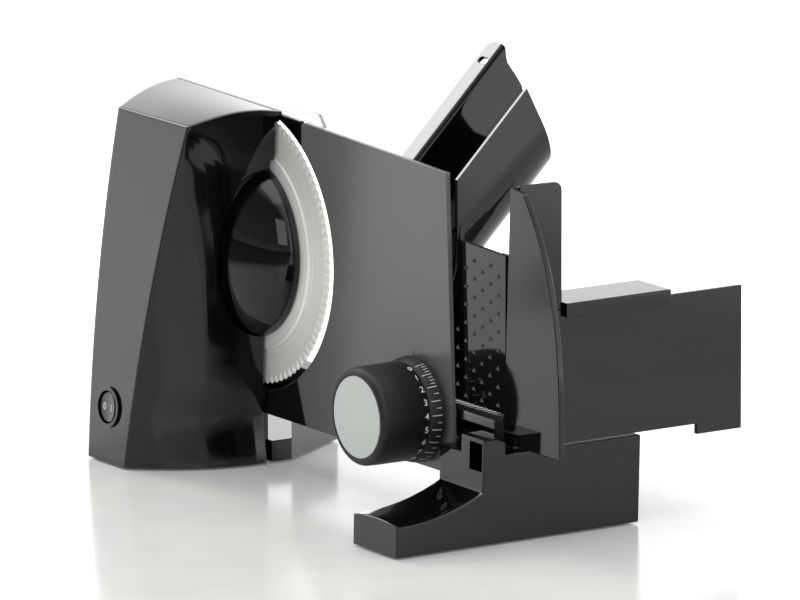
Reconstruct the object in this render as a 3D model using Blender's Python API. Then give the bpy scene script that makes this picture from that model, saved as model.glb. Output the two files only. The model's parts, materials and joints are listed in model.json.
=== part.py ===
"""Household electric food slicer, in metres.

The origin lies on the table under the blade's axis, in the plane of the blade's edge.
+X runs along the carriage slide towards the operator, +Y points to the food side,
-Y to the side where the slices fall, and +Z up.
"""

import math

import bmesh
import bpy
from mathutils import Matrix, Vector

# Clearances
FIT = 0.0003
RUN = 0.0008
SPIN_GAP = 0.0001

# Blade
BLADE_RADIUS = 0.0824
BLADE_HEIGHT = 0.1302
BLADE_THICKNESS = 0.0012
BLADE_STEP_RADIUS = 0.0612
BLADE_STEP_DEPTH = 0.0012
BLADE_WAVES = 60
BLADE_WAVE_DEPTH = 0.0009
BLADE_BEVEL = 0.005
BLADE_SLOT = 0.0013

# Gear train behind the blade
AXLE_RADIUS = 0.004
HUB_RADIUS = 0.020
HUB_LENGTH = 0.0078
GEAR_MODULE = 0.002
GEAR_TEETH = 22
GEAR_WIDTH = 0.0076
GEAR_BACKLASH = 0.0016
WORM_RADIUS = 0.007
WORM_TURNS = 4
BRACKET_THICKNESS = 0.003
BRACKET_ARM = 0.007
BRACKET_EDGE = 0.005
BUSH_WALL = 0.003
LOCK_RADIUS = 0.021
LOCK_THICKNESS = 0.0018

# Motor
MOTOR_RADIUS = 0.018
MOTOR_LENGTH = 0.060
MOTOR_WALL = 0.003
MOTOR_FOOT = 0.020
ENDCAP_THICKNESS = 0.002
ROTOR_RADIUS = 0.014
SHAFT_RADIUS = 0.003
FAN_RADIUS = 0.0135
FAN_ROOT = 0.007
FAN_BLADES = 8
FAN_ROOT_HALF = math.radians(17)
FAN_TIP_HALF = math.radians(7)
FAN_THICKNESS = 0.005
CRADLE_WALL = 0.0025
CRADLE_HEIGHT = 0.034
CAPACITOR_RADIUS = 0.008
CAPACITOR_HEIGHT = 0.034

# Tower housing
TOWER_BASE_FRONT = -0.078
TOWER_TOP_FRONT = -0.061
TOWER_FRONT_HEIGHT = 0.211
TOWER_CROWN = 0.0062
TOWER_WALL = 0.003
TOWER_BOTTOM = 0.0012
BASE_COVER_THICKNESS = 0.003
FOOT_PAD_RADIUS = 0.007
TOWER_CROWN_LEFT = math.radians(90)
TOWER_CROWN_RIGHT = math.radians(144)
TOWER_SIDE_STEPS = (0.0, 0.12, 0.26, 0.42, 0.60, 0.80, 1.0)
TOWER_LEFT_FRONT = (-0.0610, -0.0627, -0.0520)
TOWER_LEFT_BACK = (-0.1000, -0.0915, -0.0850)
TOWER_RIGHT_FRONT = (-0.0210, -0.0045, 0.0244)
TOWER_RIGHT_BACK = (
    (TOWER_BOTTOM, 0.0140),
    (0.0310, 0.0112),
    (0.0470, 0.0150),
    (0.0700, 0.0163),
    (0.1150, 0.0195),
    (0.1600, 0.0240),
    (0.1900, 0.0290),
    (TOWER_FRONT_HEIGHT, 0.0290),
)

# Hub dome, and the shallow recess round it in the tower's side
DOME_RADIUS = 0.0543
DOME_DEPTH = 0.030
DOME_WALL = 0.0025
DOME_GAP = 0.0008
RECESS_ACROSS = 0.0378
RECESS_UP = 0.0539
RECESS_RISE = 0.0022
RECESS_DEPTH = 0.0045
RECESS_WALL = 0.008

# Bush for the power cord
INLET_X = -0.0800
INLET_Z = 0.0300
INLET_RADIUS = 0.0060
INLET_FLANGE = 0.0090
INLET_FLANGE_THICKNESS = 0.002
INLET_BORE = 0.0034

# Switch
SWITCH_X = -0.0416
SWITCH_Z = 0.0341
BEZEL_RADIUS = 0.0122
BEZEL_WALL = 0.0016
BEZEL_DEPTH = 0.010
ROCKER_THICKNESS = 0.0045
ROCKER_FOLD = math.radians(11)

# Stop plate, and the fixed wall left of it
PLATE_THICKNESS = 0.003
PLATE_TOP_LEFT = 0.2119
PLATE_TOP_RIGHT = 0.2064
PLATE_END_TOP = 0.2032
PLATE_END_BOTTOM = 0.2108
PLATE_LEFT_TOP = 0.0512
PLATE_LEFT_BOTTOM = 0.0556
PLATE_BOTTOM = 0.0305
PLATE_CORNER = 0.006
PLATE_TRAVEL = 0.015
BLADE_OPENING_GAP = 0.0026
OPENING_DROP = 0.0012
SEAM = 0.0006
SEAM_ANGLE = math.radians(19)
WALL_RIGHT = 0.0102

# Clear tip above the plate
TIP_LIP = 0.0030
TIP_PEAK = 0.0660
TIP_SHOULDER = 0.0700
TIP_END = 0.0755
TIP_RISE = 0.0086

# Thickness knob
KNOB_X = 0.1756
KNOB_Z = 0.0636
KNOB_REAR = -0.0036
KNOB_FRONT = -0.0435
KNOB_RADIUS = 0.0290
KNOB_BORE = 0.0235
KNOB_FACE_RADIUS = 0.0250
KNOB_EDGE = 0.0030
KNOB_HUB_RADIUS = 0.0075
KNOB_AXLE_RADIUS = 0.0040
KNOB_AXLE_FLANGE = 0.0022
DIAL_RADIUS = 0.0312
DIAL_LENGTH = 0.0085
DIAL_WALL = 0.0034
CAP_RADIUS = 0.0240
CAP_THICKNESS = 0.0018
CAM_PIN_RADIUS = 0.0025
CAM_PIN_OFFSET = 0.0180
CAM_PIN_TIP = -0.0220
CAM_TURN = math.radians(240)
CAM_FLAT = math.radians(12)

# Bridge, its rods and the carriage rail
BRIDGE_FRONT = 0.0080
BRIDGE_BACK = 0.0300
BRIDGE_BOTTOM = 0.0340
BRIDGE_TOP = 0.0530
BRIDGE_LEFT = -0.0440
RAIL_WIDTH = 0.0140
RAIL_STEM_WIDTH = 0.0070
RAIL_STEM = 0.0036
RAIL_HEAD = 0.0036
SHOE_LENGTH = 0.020
SHOE_WALL = 0.0030
GUIDE_ROD_RADIUS = 0.0030
GUIDE_ROD_LEFT = 0.0950
GUIDE_ROD_RIGHT = 0.1990
GUIDE_ROD_LENGTH = 0.0215
PLATE_BRACKET_THICKNESS = 0.0030

# Tower's food-side leg
LEG_CORNER = (0.0138, 0.0170)
LEG_BACK = (-0.0170, 0.0700)
LEG_INNER_BACK = (-0.0620, 0.0700)
SLAB_TOP = 0.0140

# Right foot
FOOT_LEFT = 0.2185
FOOT_RIGHT = 0.2635
FOOT_DRAFT = 0.0020
FOOT_TOE = -0.0745
FOOT_RISER = -0.0160
FOOT_BACK = 0.0930
FOOT_TOP = 0.0530
TOE_HEIGHT = 0.0200
TOE_RISE = 0.0320
BOSS_TOP = 0.0630
BOSS_BACK = -0.0010
BOSS_LEFT = 0.2400
WINDOW_LEFT = 0.2490
WINDOW_BOTTOM = 0.0440
WINDOW_TOP = 0.0605
WINDOW_SIDE = 0.0016

# Carriage
CARRIAGE_FRONT = 0.0038
CARRIAGE_LEFT = 0.1500
CARRIAGE_BACK = 0.1620
CARRIAGE_TRAVEL = 0.200
FLOOR_TOP = 0.0720
FLOOR_THICKNESS = 0.0030
RIB_PITCH = 0.0046
RIB_HEIGHT = 0.0008
WALL_X = 0.2680
WALL_THICKNESS = 0.0030
WALL_TOP = 0.1335
WALL_BOTTOM = 0.0552
SKIRT_START = 0.1305
SKIRT_BOTTOM = 0.0490
GUARD_LEFT = 0.2560
GUARD_LEFT_TOP = 0.2628
GUARD_BOTTOM = 0.0573
GUARD_TOP = 0.2070
GUARD_RIGHT = 0.3134
GUARD_RIGHT_TOP = 0.2768
GUARD_TOP_DROP = 0.0016
GUARD_THICKNESS = 0.0030
PANEL_BACK = 0.0362
PANEL_TOP = 0.2082
PANEL_CORNER = 0.0050

# Food holder
PRESS_FRONT = 0.0063
PRESS_THICKNESS = 0.0028
PRESS_LEFT = 0.1560
PRESS_RIGHT = 0.2545
PRESS_BOTTOM = 0.0735
PRESS_TOP = 0.1672
PRESS_TOP_DROP = 0.0016
STUD_PITCH_X = 0.0082
STUD_PITCH_Z = 0.0107
STUD_HEIGHT = 0.0016
STUD_SIZE = 0.0022
SADDLE_FRONT = 0.0370
SADDLE_BACK = 0.1100
SADDLE_TOP = 0.1375
SADDLE_BODY = 0.0262
SADDLE_LIP = 0.0085
SADDLE_WALL = 0.0026
ARM_WIDTH = 0.0242
ARM_BOTTOM = 0.0980
ARM_FACE = 0.0057

# Chute for small food
CHUTE_ANGLE = math.radians(45)
CHUTE_NEAR = 0.2080
CHUTE_HALF_WIDTH = 0.0252
CHUTE_RIM_HEIGHT = 0.1978
CHUTE_WALL = 0.0025
CHUTE_SIDE = 0.0200
CHUTE_BELLY = 0.0347
CHUTE_LENGTH = 0.0748
CHUTE_UNDERCUT = 0.32
CHUTE_FAR_LENGTH = 0.0885
CHUTE_FLANGE = 0.0130
TONGUE_LENGTH = 0.0080
TONGUE_WIDTH = 0.0190
TONGUE_HOLE = 0.0035

# Mesh fineness
ROUND = 40
DOME_STEPS = 56
DOME_LEVELS = 14
SMOOTH_ANGLE = math.radians(32)

# Sizes that follow from the ones above
BLADE_CENTRE = (0.0, 0.0, BLADE_HEIGHT)
BLADE_OPENING = BLADE_RADIUS + BLADE_OPENING_GAP
OPENING_HEIGHT = BLADE_HEIGHT - OPENING_DROP
BLADE_BACK = -BLADE_THICKNESS - BLADE_STEP_DEPTH
DOME_BASE = BLADE_BACK - DOME_GAP
HUB_REAR = BLADE_BACK - FIT - HUB_LENGTH
BUSH_FRONT = HUB_REAR - 2 * RUN
BUSH_LENGTH = BRACKET_THICKNESS + 2 * RUN
BRACKET_FRONT = BUSH_FRONT - RUN
GEAR_FRONT = BUSH_FRONT - BUSH_LENGTH - RUN
GEAR_MIDDLE = GEAR_FRONT - GEAR_WIDTH / 2
GEAR_RADIUS = GEAR_MODULE * GEAR_TEETH / 2
GEAR_PITCH = math.pi * GEAR_MODULE
TOOTH_HEIGHT = 0.8 * GEAR_MODULE
TOOTH_ROOT = GEAR_MODULE
MOTOR_X = -GEAR_RADIUS - WORM_RADIUS
BASE_COVER_BOTTOM = TOWER_BOTTOM + 2 * FIT
BASE_COVER_TOP = BASE_COVER_BOTTOM + BASE_COVER_THICKNESS
PAD_HEIGHT = TOWER_BOTTOM - FIT
MOTOR_TOP = MOTOR_FOOT + MOTOR_LENGTH
MOTOR_AXIS = (MOTOR_X, GEAR_MIDDLE, 0.0)
WORM_LENGTH = WORM_TURNS * GEAR_PITCH
FLANGE_BOTTOM = MOTOR_TOP + ENDCAP_THICKNESS + 2 * FIT
FLANGE_TOP = FLANGE_BOTTOM + BRACKET_THICKNESS
POCKET_LEFT = -0.010
WALL_BOTTOM_EDGE = PLATE_BOTTOM + FIT
KNOB_AXIS = (KNOB_X, 0.0, KNOB_Z)
CAM_PIN_Z = KNOB_Z - CAM_PIN_OFFSET
CAM_GAP = 0.0008
RAIL_Y = (BRIDGE_FRONT + BRIDGE_BACK) / 2
RAIL_BOTTOM = BRIDGE_TOP + FIT
RAIL_HEAD_BOTTOM = RAIL_BOTTOM + RAIL_STEM
RAIL_HEAD_TOP = RAIL_HEAD_BOTTOM + RAIL_HEAD
FLOOR_BOTTOM = FLOOR_TOP - FLOOR_THICKNESS
FOOT_INNER_RIGHT = FOOT_RIGHT - WINDOW_SIDE
PRESS_BACK = PRESS_FRONT + PRESS_THICKNESS
CHUTE_MIDDLE = CHUTE_NEAR - CHUTE_HALF_WIDTH
CHUTE_DEPTH = CHUTE_SIDE + CHUTE_BELLY


def clear_scene():
    """Start from an empty file."""
    for item in list(bpy.data.objects):
        bpy.data.objects.remove(item, do_unlink=True)


# Materials


def finish(name, colour, roughness, metallic=0.0):
    """Give back the named material, made the first time it is asked for."""
    found = bpy.data.materials.get(name)
    if found:
        return found
    made = bpy.data.materials.new(name)
    made.use_nodes = True
    shader = made.node_tree.nodes["Principled BSDF"]
    shader.inputs["Base Color"].default_value = (*colour, 1.0)
    shader.inputs["Roughness"].default_value = roughness
    shader.inputs["Metallic"].default_value = metallic
    return made


def gloss_black():
    return finish("gloss_black_plastic", (0.012, 0.012, 0.013), 0.08)


def satin_black():
    return finish("satin_black_plastic", (0.016, 0.016, 0.017), 0.35)


def matte_black():
    return finish("matte_black_plastic", (0.014, 0.014, 0.014), 0.55)


def pale_cap():
    return finish("silver_grey_plastic", (0.52, 0.55, 0.55), 0.45)


def clear_plastic():
    return finish("clear_plastic", (0.80, 0.81, 0.82), 0.12)


def gear_nylon():
    return finish("gear_nylon", (0.70, 0.66, 0.55), 0.45)


def steel():
    return finish("polished_steel", (0.62, 0.61, 0.58), 0.22, 1.0)


def aluminium():
    return finish("drawn_aluminium", (0.66, 0.66, 0.67), 0.30, 1.0)


def zinc_steel():
    return finish("zinc_plated_steel", (0.52, 0.53, 0.54), 0.38, 1.0)


def bronze():
    return finish("sintered_bronze", (0.45, 0.30, 0.15), 0.40, 1.0)


def rubber():
    return finish("black_rubber", (0.02, 0.02, 0.02), 0.80)


def iron_core():
    return finish("lacquered_iron", (0.22, 0.20, 0.18), 0.45, 0.8)


# Shape makers


def along(axis, across, up, offset):
    """Turn a flat point and an offset along an axis into a point in space."""
    if axis == "X":
        return Vector((offset, across, up))
    if axis == "Y":
        return Vector((across, offset, up))
    return Vector((across, up, offset))


def prism(outline, axis, start, end):
    """Extrude a flat outline along an axis."""
    shape = bmesh.new()
    low = [shape.verts.new(along(axis, u, v, start)) for u, v in outline]
    high = [shape.verts.new(along(axis, u, v, end)) for u, v in outline]
    for index in range(len(outline)):
        after = (index + 1) % len(outline)
        shape.faces.new((low[index], low[after], high[after], high[index]))
    shape.faces.new(list(reversed(low)))
    shape.faces.new(high)
    return shape


def box(x_range, y_range, z_range):
    """A plain block between three pairs of limits."""
    left, right = x_range
    front, back = y_range
    return prism([(left, front), (right, front), (right, back), (left, back)], "Z", *z_range)


def turned(profile, axis, centre, steps=ROUND):
    """Turn a profile of (radius, offset) points round an axis through the centre."""
    shape = bmesh.new()
    rings = []
    for radius, offset in profile:
        count = steps if radius > 0.0 else 1
        ring = []
        for step in range(count):
            angle = 2 * math.pi * step / count
            point = along(axis, radius * math.cos(angle), radius * math.sin(angle), offset)
            ring.append(shape.verts.new(point + Vector(centre)))
        rings.append(ring)
    pairs = list(zip(rings, rings[1:]))
    if len(rings[0]) > 1:
        pairs.append((rings[-1], rings[0]))
    for low, high in pairs:
        stitch(shape, low, high, steps)
    return shape


def stitch(shape, low, high, steps):
    """Join two rings, either of which may be a single pole, with faces."""
    for step in range(steps):
        after = (step + 1) % steps
        corners = (
            low[step % len(low)],
            low[after % len(low)],
            high[after % len(high)],
            high[step % len(high)],
        )
        unique = list(dict.fromkeys(corners))
        if len(unique) > 2:
            shape.faces.new(unique)


def rod(axis, centre, radius, start, end, steps=ROUND):
    """A round bar."""
    return turned([(0.0, start), (radius, start), (radius, end), (0.0, end)], axis, centre, steps)


def sleeve(axis, centre, inner, outer, start, end, steps=ROUND):
    """A round tube."""
    return turned([(inner, start), (outer, start), (outer, end), (inner, end)], axis, centre, steps)


def loft(rings):
    """Skin level rings with flat triangles. Each ring runs along one side and back along the other."""
    shape = bmesh.new()
    side_count = len(rings[0]) // 2
    loops = [[shape.verts.new(point) for point in ring] for ring in rings]
    total = len(loops[0])
    for low, high in zip(loops, loops[1:]):
        for index in range(total):
            after = (index + 1) % total
            shape.faces.new((low[index], low[after], high[after], high[index]))
    for loop in (loops[0], loops[-1]):
        for index in range(side_count - 1):
            mirror = total - 1 - index
            shape.faces.new((loop[index], loop[index + 1], loop[mirror - 1], loop[mirror]))
    bmesh.ops.triangulate(shape, faces=shape.faces)
    return shape


def arc(centre, radius, start, end, steps):
    """Points along a circle between two angles, both ends included."""
    points = []
    for step in range(steps + 1):
        angle = start + (end - start) * step / steps
        points.append((centre[0] + radius * math.cos(angle), centre[1] + radius * math.sin(angle)))
    return points


def link(name, shape, material):
    """Turn a mesh under construction into a named object."""
    bmesh.ops.recalc_face_normals(shape, faces=shape.faces)
    mesh = bpy.data.meshes.new(name)
    shape.to_mesh(mesh)
    shape.free()
    piece = bpy.data.objects.new(name, mesh)
    bpy.context.scene.collection.objects.link(piece)
    mesh.materials.append(material)
    mesh.shade_smooth()
    mesh.set_sharp_from_angle(angle=SMOOTH_ANGLE)
    return piece


def work(target, shapes, operation):
    """Apply one Boolean with each of the given shapes and keep the result as the piece's own mesh."""
    for shape in shapes:
        tool = link("tool", shape, target.data.materials[0])
        modifier = target.modifiers.new("cut", "BOOLEAN")
        modifier.operation = operation
        modifier.solver = "EXACT"
        modifier.object = tool
        bpy.context.view_layer.update()
        graph = bpy.context.evaluated_depsgraph_get()
        mesh = bpy.data.meshes.new_from_object(target.evaluated_get(graph))
        target.modifiers.clear()
        target.data = mesh
        bpy.data.objects.remove(tool, do_unlink=True)
    return target


def cut(target, *shapes):
    return work(target, shapes, "DIFFERENCE")


def weld(target, *shapes):
    return work(target, shapes, "UNION")


def ride_on(name, location, pieces):
    """Hang moving pieces on an empty that sits on their joint's axis."""
    pivot = bpy.data.objects.new(name, None)
    pivot.location = location
    bpy.context.scene.collection.objects.link(pivot)
    for piece in pieces:
        piece.parent = pivot
        piece.matrix_parent_inverse = Matrix.Translation(-Vector(location))
    return pivot


# Motor tower


def bowed(height, values):
    """A smooth curve through values given at the foot, the middle and the top of the tower."""
    low, middle, top = values
    part = height / TOWER_FRONT_HEIGHT
    bow = middle - (low + top) / 2
    return low + (top - low) * part + 4 * bow * part * (1 - part)


def right_back(height):
    """Right edge of the tower next to the blade, at one height."""
    for low, high in zip(TOWER_RIGHT_BACK, TOWER_RIGHT_BACK[1:]):
        if height <= high[0]:
            part = (height - low[0]) / (high[0] - low[0])
            return low[1] + (high[1] - low[1]) * max(part, 0.0)
    return TOWER_RIGHT_BACK[-1][1]


def crown(side, sweep):
    """Rise of the tower's top from its front edge to a place along one side."""
    return TOWER_CROWN * math.sin(side * sweep)


def tower_ring(height, inset, crowned, extension):
    """One level outline of the tower: right side back to front, then left side front to back."""
    front = TOWER_BASE_FRONT + (TOWER_TOP_FRONT - TOWER_BASE_FRONT) * height / TOWER_FRONT_HEIGHT + inset
    right_front = bowed(height, TOWER_RIGHT_FRONT)
    left_front = bowed(height, TOWER_LEFT_FRONT)
    left_back = bowed(height, TOWER_LEFT_BACK)
    right = []
    left = []
    for side in TOWER_SIDE_STEPS:
        y = front + (-FIT - front) * side
        z_right = height
        z_left = height
        if crowned:
            z_right += crown(side, TOWER_CROWN_RIGHT) - inset
            z_left += crown(side, TOWER_CROWN_LEFT) - inset
        sweep = 1 - (1 - side) ** 2.2
        x_right = right_front + (right_back(height) - right_front) * sweep - inset
        bulge = (side + math.sin(side * math.pi / 2)) / 2
        x_left = left_front + (left_back - left_front) * bulge + inset
        right.append((x_right, y, z_right))
        left.append((x_left, y, z_left))
    if extension:
        right.append((right[-1][0], extension, right[-1][2]))
        left.append((left[-1][0], extension, left[-1][2]))
    return list(reversed(right)) + left


def tower_solid(inset, bottom, extension):
    """The tower's body, outer when the inset is nothing, or its hollow when it is the wall."""
    heights = [bottom] + [level[0] for level in TOWER_RIGHT_BACK[1:-1]]
    rings = [tower_ring(height, inset, False, extension) for height in heights]
    rings.append(tower_ring(TOWER_FRONT_HEIGHT, inset, True, extension))
    return loft(rings)


def egg(radius, depth):
    """An ellipsoid round the blade's axis, seated on the dome's base."""
    profile = []
    for level in range(DOME_LEVELS + 1):
        angle = -math.pi / 2 + math.pi * level / DOME_LEVELS
        ring = 0.0 if level in (0, DOME_LEVELS) else radius * math.cos(angle)
        profile.append((ring, DOME_BASE + depth * math.sin(angle)))
    return turned(profile, "Y", BLADE_CENTRE, DOME_STEPS)


def recess():
    """Cutter for the oval recess, which follows the tower's side a little below its surface."""
    outline = []
    for step in range(DOME_STEPS):
        angle = 2 * math.pi * step / DOME_STEPS
        up = BLADE_HEIGHT + RECESS_RISE + RECESS_UP * math.sin(angle)
        outline.append((DOME_BASE + RECESS_ACROSS * math.cos(angle), up))
    oval = link("recess", prism(outline, "X", 0.0, DOME_RADIUS), gloss_black())
    return as_shape(cut(oval, tower_solid(RECESS_DEPTH, -TOWER_WALL, RECESS_ACROSS)))


def switch_lean():
    return math.atan2(TOWER_TOP_FRONT - TOWER_BASE_FRONT, TOWER_FRONT_HEIGHT)


def switch_centre():
    part = SWITCH_Z / TOWER_FRONT_HEIGHT
    return Vector((SWITCH_X, TOWER_BASE_FRONT + (TOWER_TOP_FRONT - TOWER_BASE_FRONT) * part, SWITCH_Z))


def lean_with_face(shape):
    """Set a shape, built round the Y axis at the origin, into the leaning switch face."""
    turn = Matrix.Translation(switch_centre()) @ Matrix.Rotation(-switch_lean(), 4, "X")
    bmesh.ops.transform(shape, matrix=turn, verts=shape.verts)
    return shape


def make_motor_housing():
    hollow = link("hollow", tower_solid(TOWER_WALL, -TOWER_WALL, TOWER_WALL * 3), gloss_black())
    seat = link("seat", egg(DOME_RADIUS + RECESS_WALL, RECESS_ACROSS + RECESS_WALL), gloss_black())
    far = -BLADE_RADIUS
    cut(seat, box((far, POCKET_LEFT), (far, -far), (0.0, 2 * BLADE_HEIGHT)))
    cut(hollow, as_shape(seat))
    housing = link("motor_housing", tower_solid(0.0, TOWER_BOTTOM, 0.0), gloss_black())
    slot_depth = DOME_BASE - DOME_GAP
    cut(
        housing,
        as_shape(hollow),
        egg(DOME_RADIUS + FIT, DOME_DEPTH + FIT),
        recess(),
        rod("Y", BLADE_CENTRE, BLADE_RADIUS + BLADE_SLOT, slot_depth, TOWER_WALL),
        lean_with_face(rod("Y", (0, 0, 0), BEZEL_RADIUS - BEZEL_WALL + FIT, -BEZEL_DEPTH, BEZEL_DEPTH)),
    )
    return housing


def as_shape(piece):
    """Take an object's mesh back as a shape and drop the object."""
    shape = bmesh.new()
    shape.from_mesh(piece.data)
    bpy.data.objects.remove(piece, do_unlink=True)
    return shape


def make_base_cover():
    ring = tower_ring(BASE_COVER_TOP, TOWER_WALL + 2 * FIT, False, 0.0)
    outline = [(point[0], point[1]) for point in ring]
    return link("base_cover", prism(outline, "Z", BASE_COVER_BOTTOM, BASE_COVER_TOP), matte_black())


def plate_top(x):
    """Height of the plate's sloping top edge."""
    slope = (PLATE_TOP_RIGHT - PLATE_TOP_LEFT) / (PLATE_END_TOP - PLATE_LEFT_TOP)
    return PLATE_TOP_LEFT + slope * (x - PLATE_LEFT_TOP)


def seam_on_circle(offset):
    """Where the slanted lower seam, moved sideways by an offset, meets the blade's opening."""
    lean = math.tan(SEAM_ANGLE)
    foot = PLATE_LEFT_BOTTOM + offset + lean * PLATE_BOTTOM
    square = lean * lean + 1
    half = lean * foot + OPENING_HEIGHT
    rest = foot * foot + OPENING_HEIGHT * OPENING_HEIGHT - BLADE_OPENING * BLADE_OPENING
    height = (half - math.sqrt(half * half - square * rest)) / square
    return foot - lean * height, height


def opening_angle(point):
    return math.atan2(point[1] - OPENING_HEIGHT, point[0])


def edge_on_circle(x):
    """Where an upright edge meets the blade's opening, above the axis."""
    return x, OPENING_HEIGHT + math.sqrt(BLADE_OPENING * BLADE_OPENING - x * x)


def make_back_wall():
    """The fixed wall on the food side: it closes the tower and frames the blade."""
    low = seam_on_circle(-SEAM)
    high = edge_on_circle(PLATE_LEFT_TOP - SEAM)
    start = opening_angle(high)
    end = opening_angle(low)
    heights = (SLAB_TOP + FIT, TOWER_FRONT_HEIGHT / 2, TOWER_FRONT_HEIGHT + crown(1.0, TOWER_CROWN_LEFT))
    left_edge = [(bowed(min(z, TOWER_FRONT_HEIGHT), TOWER_LEFT_BACK), z) for z in heights]
    top_right = right_back(TOWER_FRONT_HEIGHT)
    outline = [(WALL_RIGHT, heights[0])] + left_edge
    outline.append((top_right, TOWER_FRONT_HEIGHT + crown(1.0, TOWER_CROWN_RIGHT)))
    outline.append((top_right, plate_top(top_right)))
    outline += [(high[0], plate_top(high[0]))]
    outline += arc((0.0, OPENING_HEIGHT), BLADE_OPENING, start, end + 2 * math.pi, ROUND)
    outline += [(PLATE_LEFT_BOTTOM - SEAM, WALL_BOTTOM_EDGE), (WALL_RIGHT, WALL_BOTTOM_EDGE)]
    wall = link("back_wall", prism(outline, "Y", 0.0, PLATE_THICKNESS), gloss_black())
    hole = rod("Y", (INLET_X, 0, INLET_Z), INLET_RADIUS + FIT, -PLATE_THICKNESS, 2 * PLATE_THICKNESS)
    return cut(wall, hole)


def make_cord_inlet():
    """Bush in the fixed wall for the power cord, which the photograph doesn't show."""
    flange_back = PLATE_THICKNESS + FIT
    profile = [
        (INLET_BORE, -INLET_RADIUS),
        (INLET_RADIUS, -INLET_RADIUS),
        (INLET_RADIUS, flange_back),
        (INLET_FLANGE, flange_back),
        (INLET_FLANGE, flange_back + INLET_FLANGE_THICKNESS),
        (INLET_BORE, flange_back + INLET_FLANGE_THICKNESS),
    ]
    return link("cord_inlet", turned(profile, "Y", (INLET_X, 0, INLET_Z)), rubber())


def make_finger_guard():
    """Small clear tip that shields the blade's edge above the stop plate."""
    left = right_back(TOWER_FRONT_HEIGHT) + FIT
    outline = [
        (left, plate_top(left) + FIT),
        (left, plate_top(left) + TIP_LIP),
        (TIP_PEAK, plate_top(TIP_PEAK) + TIP_RISE),
        (TIP_SHOULDER, plate_top(TIP_SHOULDER) + TIP_RISE - RUN),
        (TIP_END, plate_top(TIP_END) + RUN),
        (PLATE_LEFT_TOP + 2 * RUN, plate_top(PLATE_LEFT_TOP) + RUN),
        (PLATE_LEFT_TOP - 2 * RUN, plate_top(PLATE_LEFT_TOP) + FIT),
    ]
    return link("finger_guard", prism(outline, "Y", FIT, PLATE_THICKNESS - FIT), clear_plastic())


def make_base_leg():
    """Low slab and wedge leg on the food side that carry the bridge."""
    left = TOWER_LEFT_BACK[0] + TOWER_WALL
    front = PLATE_THICKNESS + FIT
    slab = [(left, front), (LEG_CORNER[0], front), LEG_CORNER, LEG_BACK, LEG_INNER_BACK]
    slab.append((left, LEG_CORNER[1]))
    leg = link("base_leg", prism(slab, "Z", TOWER_BOTTOM, SLAB_TOP), gloss_black())
    wedge = [LEG_CORNER, LEG_BACK, LEG_INNER_BACK]
    return weld(leg, prism(wedge, "Z", SLAB_TOP / 2, BRIDGE_BOTTOM - FIT))


def make_hub_dome():
    outer = link("hub_dome", egg(DOME_RADIUS, DOME_DEPTH), gloss_black())
    far = 2 * DOME_RADIUS
    return cut(
        outer,
        egg(DOME_RADIUS - DOME_WALL, DOME_DEPTH - DOME_WALL),
        box((-far, far), (DOME_BASE, far), (0.0, 2 * BLADE_HEIGHT)),
        box((-far, POCKET_LEFT), (-far, far), (0.0, 2 * BLADE_HEIGHT)),
    )


# Blade and gear


def make_blade():
    """Stepped disc with a wavy edge."""
    bore = AXLE_RADIUS + FIT
    step_out = BLADE_STEP_RADIUS + BLADE_STEP_DEPTH
    profile = [
        (bore, BLADE_BACK),
        (BLADE_STEP_RADIUS, BLADE_BACK),
        (step_out, -BLADE_THICKNESS),
        (BLADE_RADIUS - BLADE_BEVEL, -BLADE_THICKNESS),
        (BLADE_RADIUS, -FIT),
        (BLADE_RADIUS, 0.0),
        (step_out - FIT, 0.0),
        (BLADE_STEP_RADIUS - FIT, -BLADE_STEP_DEPTH),
        (bore, -BLADE_STEP_DEPTH),
    ]
    steps = 2 * BLADE_WAVES
    shape = turned(profile, "Y", BLADE_CENTRE, steps)
    for vert in shape.verts:
        across = math.hypot(vert.co.x, vert.co.z - BLADE_HEIGHT)
        if across > BLADE_RADIUS - FIT:
            turn = round(math.atan2(vert.co.z - BLADE_HEIGHT, vert.co.x) / (2 * math.pi) * steps)
            shrink = 1 - (turn % 2) * BLADE_WAVE_DEPTH / BLADE_RADIUS
            vert.co.x *= shrink
            vert.co.z = BLADE_HEIGHT + (vert.co.z - BLADE_HEIGHT) * shrink
    return link("blade", shape, steel())


def make_blade_hub():
    shape = sleeve("Y", BLADE_CENTRE, AXLE_RADIUS + FIT, HUB_RADIUS, HUB_REAR, BLADE_BACK - FIT)
    return link("blade_hub", shape, gear_nylon())


def make_worm_wheel():
    """Straight-toothed wheel that the worm drives."""
    outline = []
    tooth = 2 * math.pi / GEAR_TEETH
    tip = GEAR_RADIUS + TOOTH_HEIGHT
    root = GEAR_RADIUS - TOOTH_ROOT
    tip_half = (GEAR_PITCH / 4 - GEAR_BACKLASH / 2) / tip * 0.8
    root_half = (GEAR_PITCH / 4 - GEAR_BACKLASH / 2) / root * 2.2
    for index in range(GEAR_TEETH):
        middle = math.pi + (index + 0.5) * tooth
        for radius, half in ((root, -root_half), (tip, -tip_half), (tip, tip_half), (root, root_half)):
            angle = middle + half
            outline.append((radius * math.cos(angle), BLADE_HEIGHT + radius * math.sin(angle)))
    wheel = link("worm_wheel", prism(outline, "Y", GEAR_FRONT - GEAR_WIDTH, GEAR_FRONT), gear_nylon())
    bore = rod("Y", BLADE_CENTRE, AXLE_RADIUS + FIT, GEAR_FRONT - 2 * GEAR_WIDTH, GEAR_FRONT + GEAR_WIDTH)
    return cut(wheel, bore)


def make_blade_axle():
    end = GEAR_FRONT - GEAR_WIDTH - 2 * RUN
    return link("blade_axle", rod("Y", BLADE_CENTRE, AXLE_RADIUS, end, -BLADE_STEP_DEPTH), steel())


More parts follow.
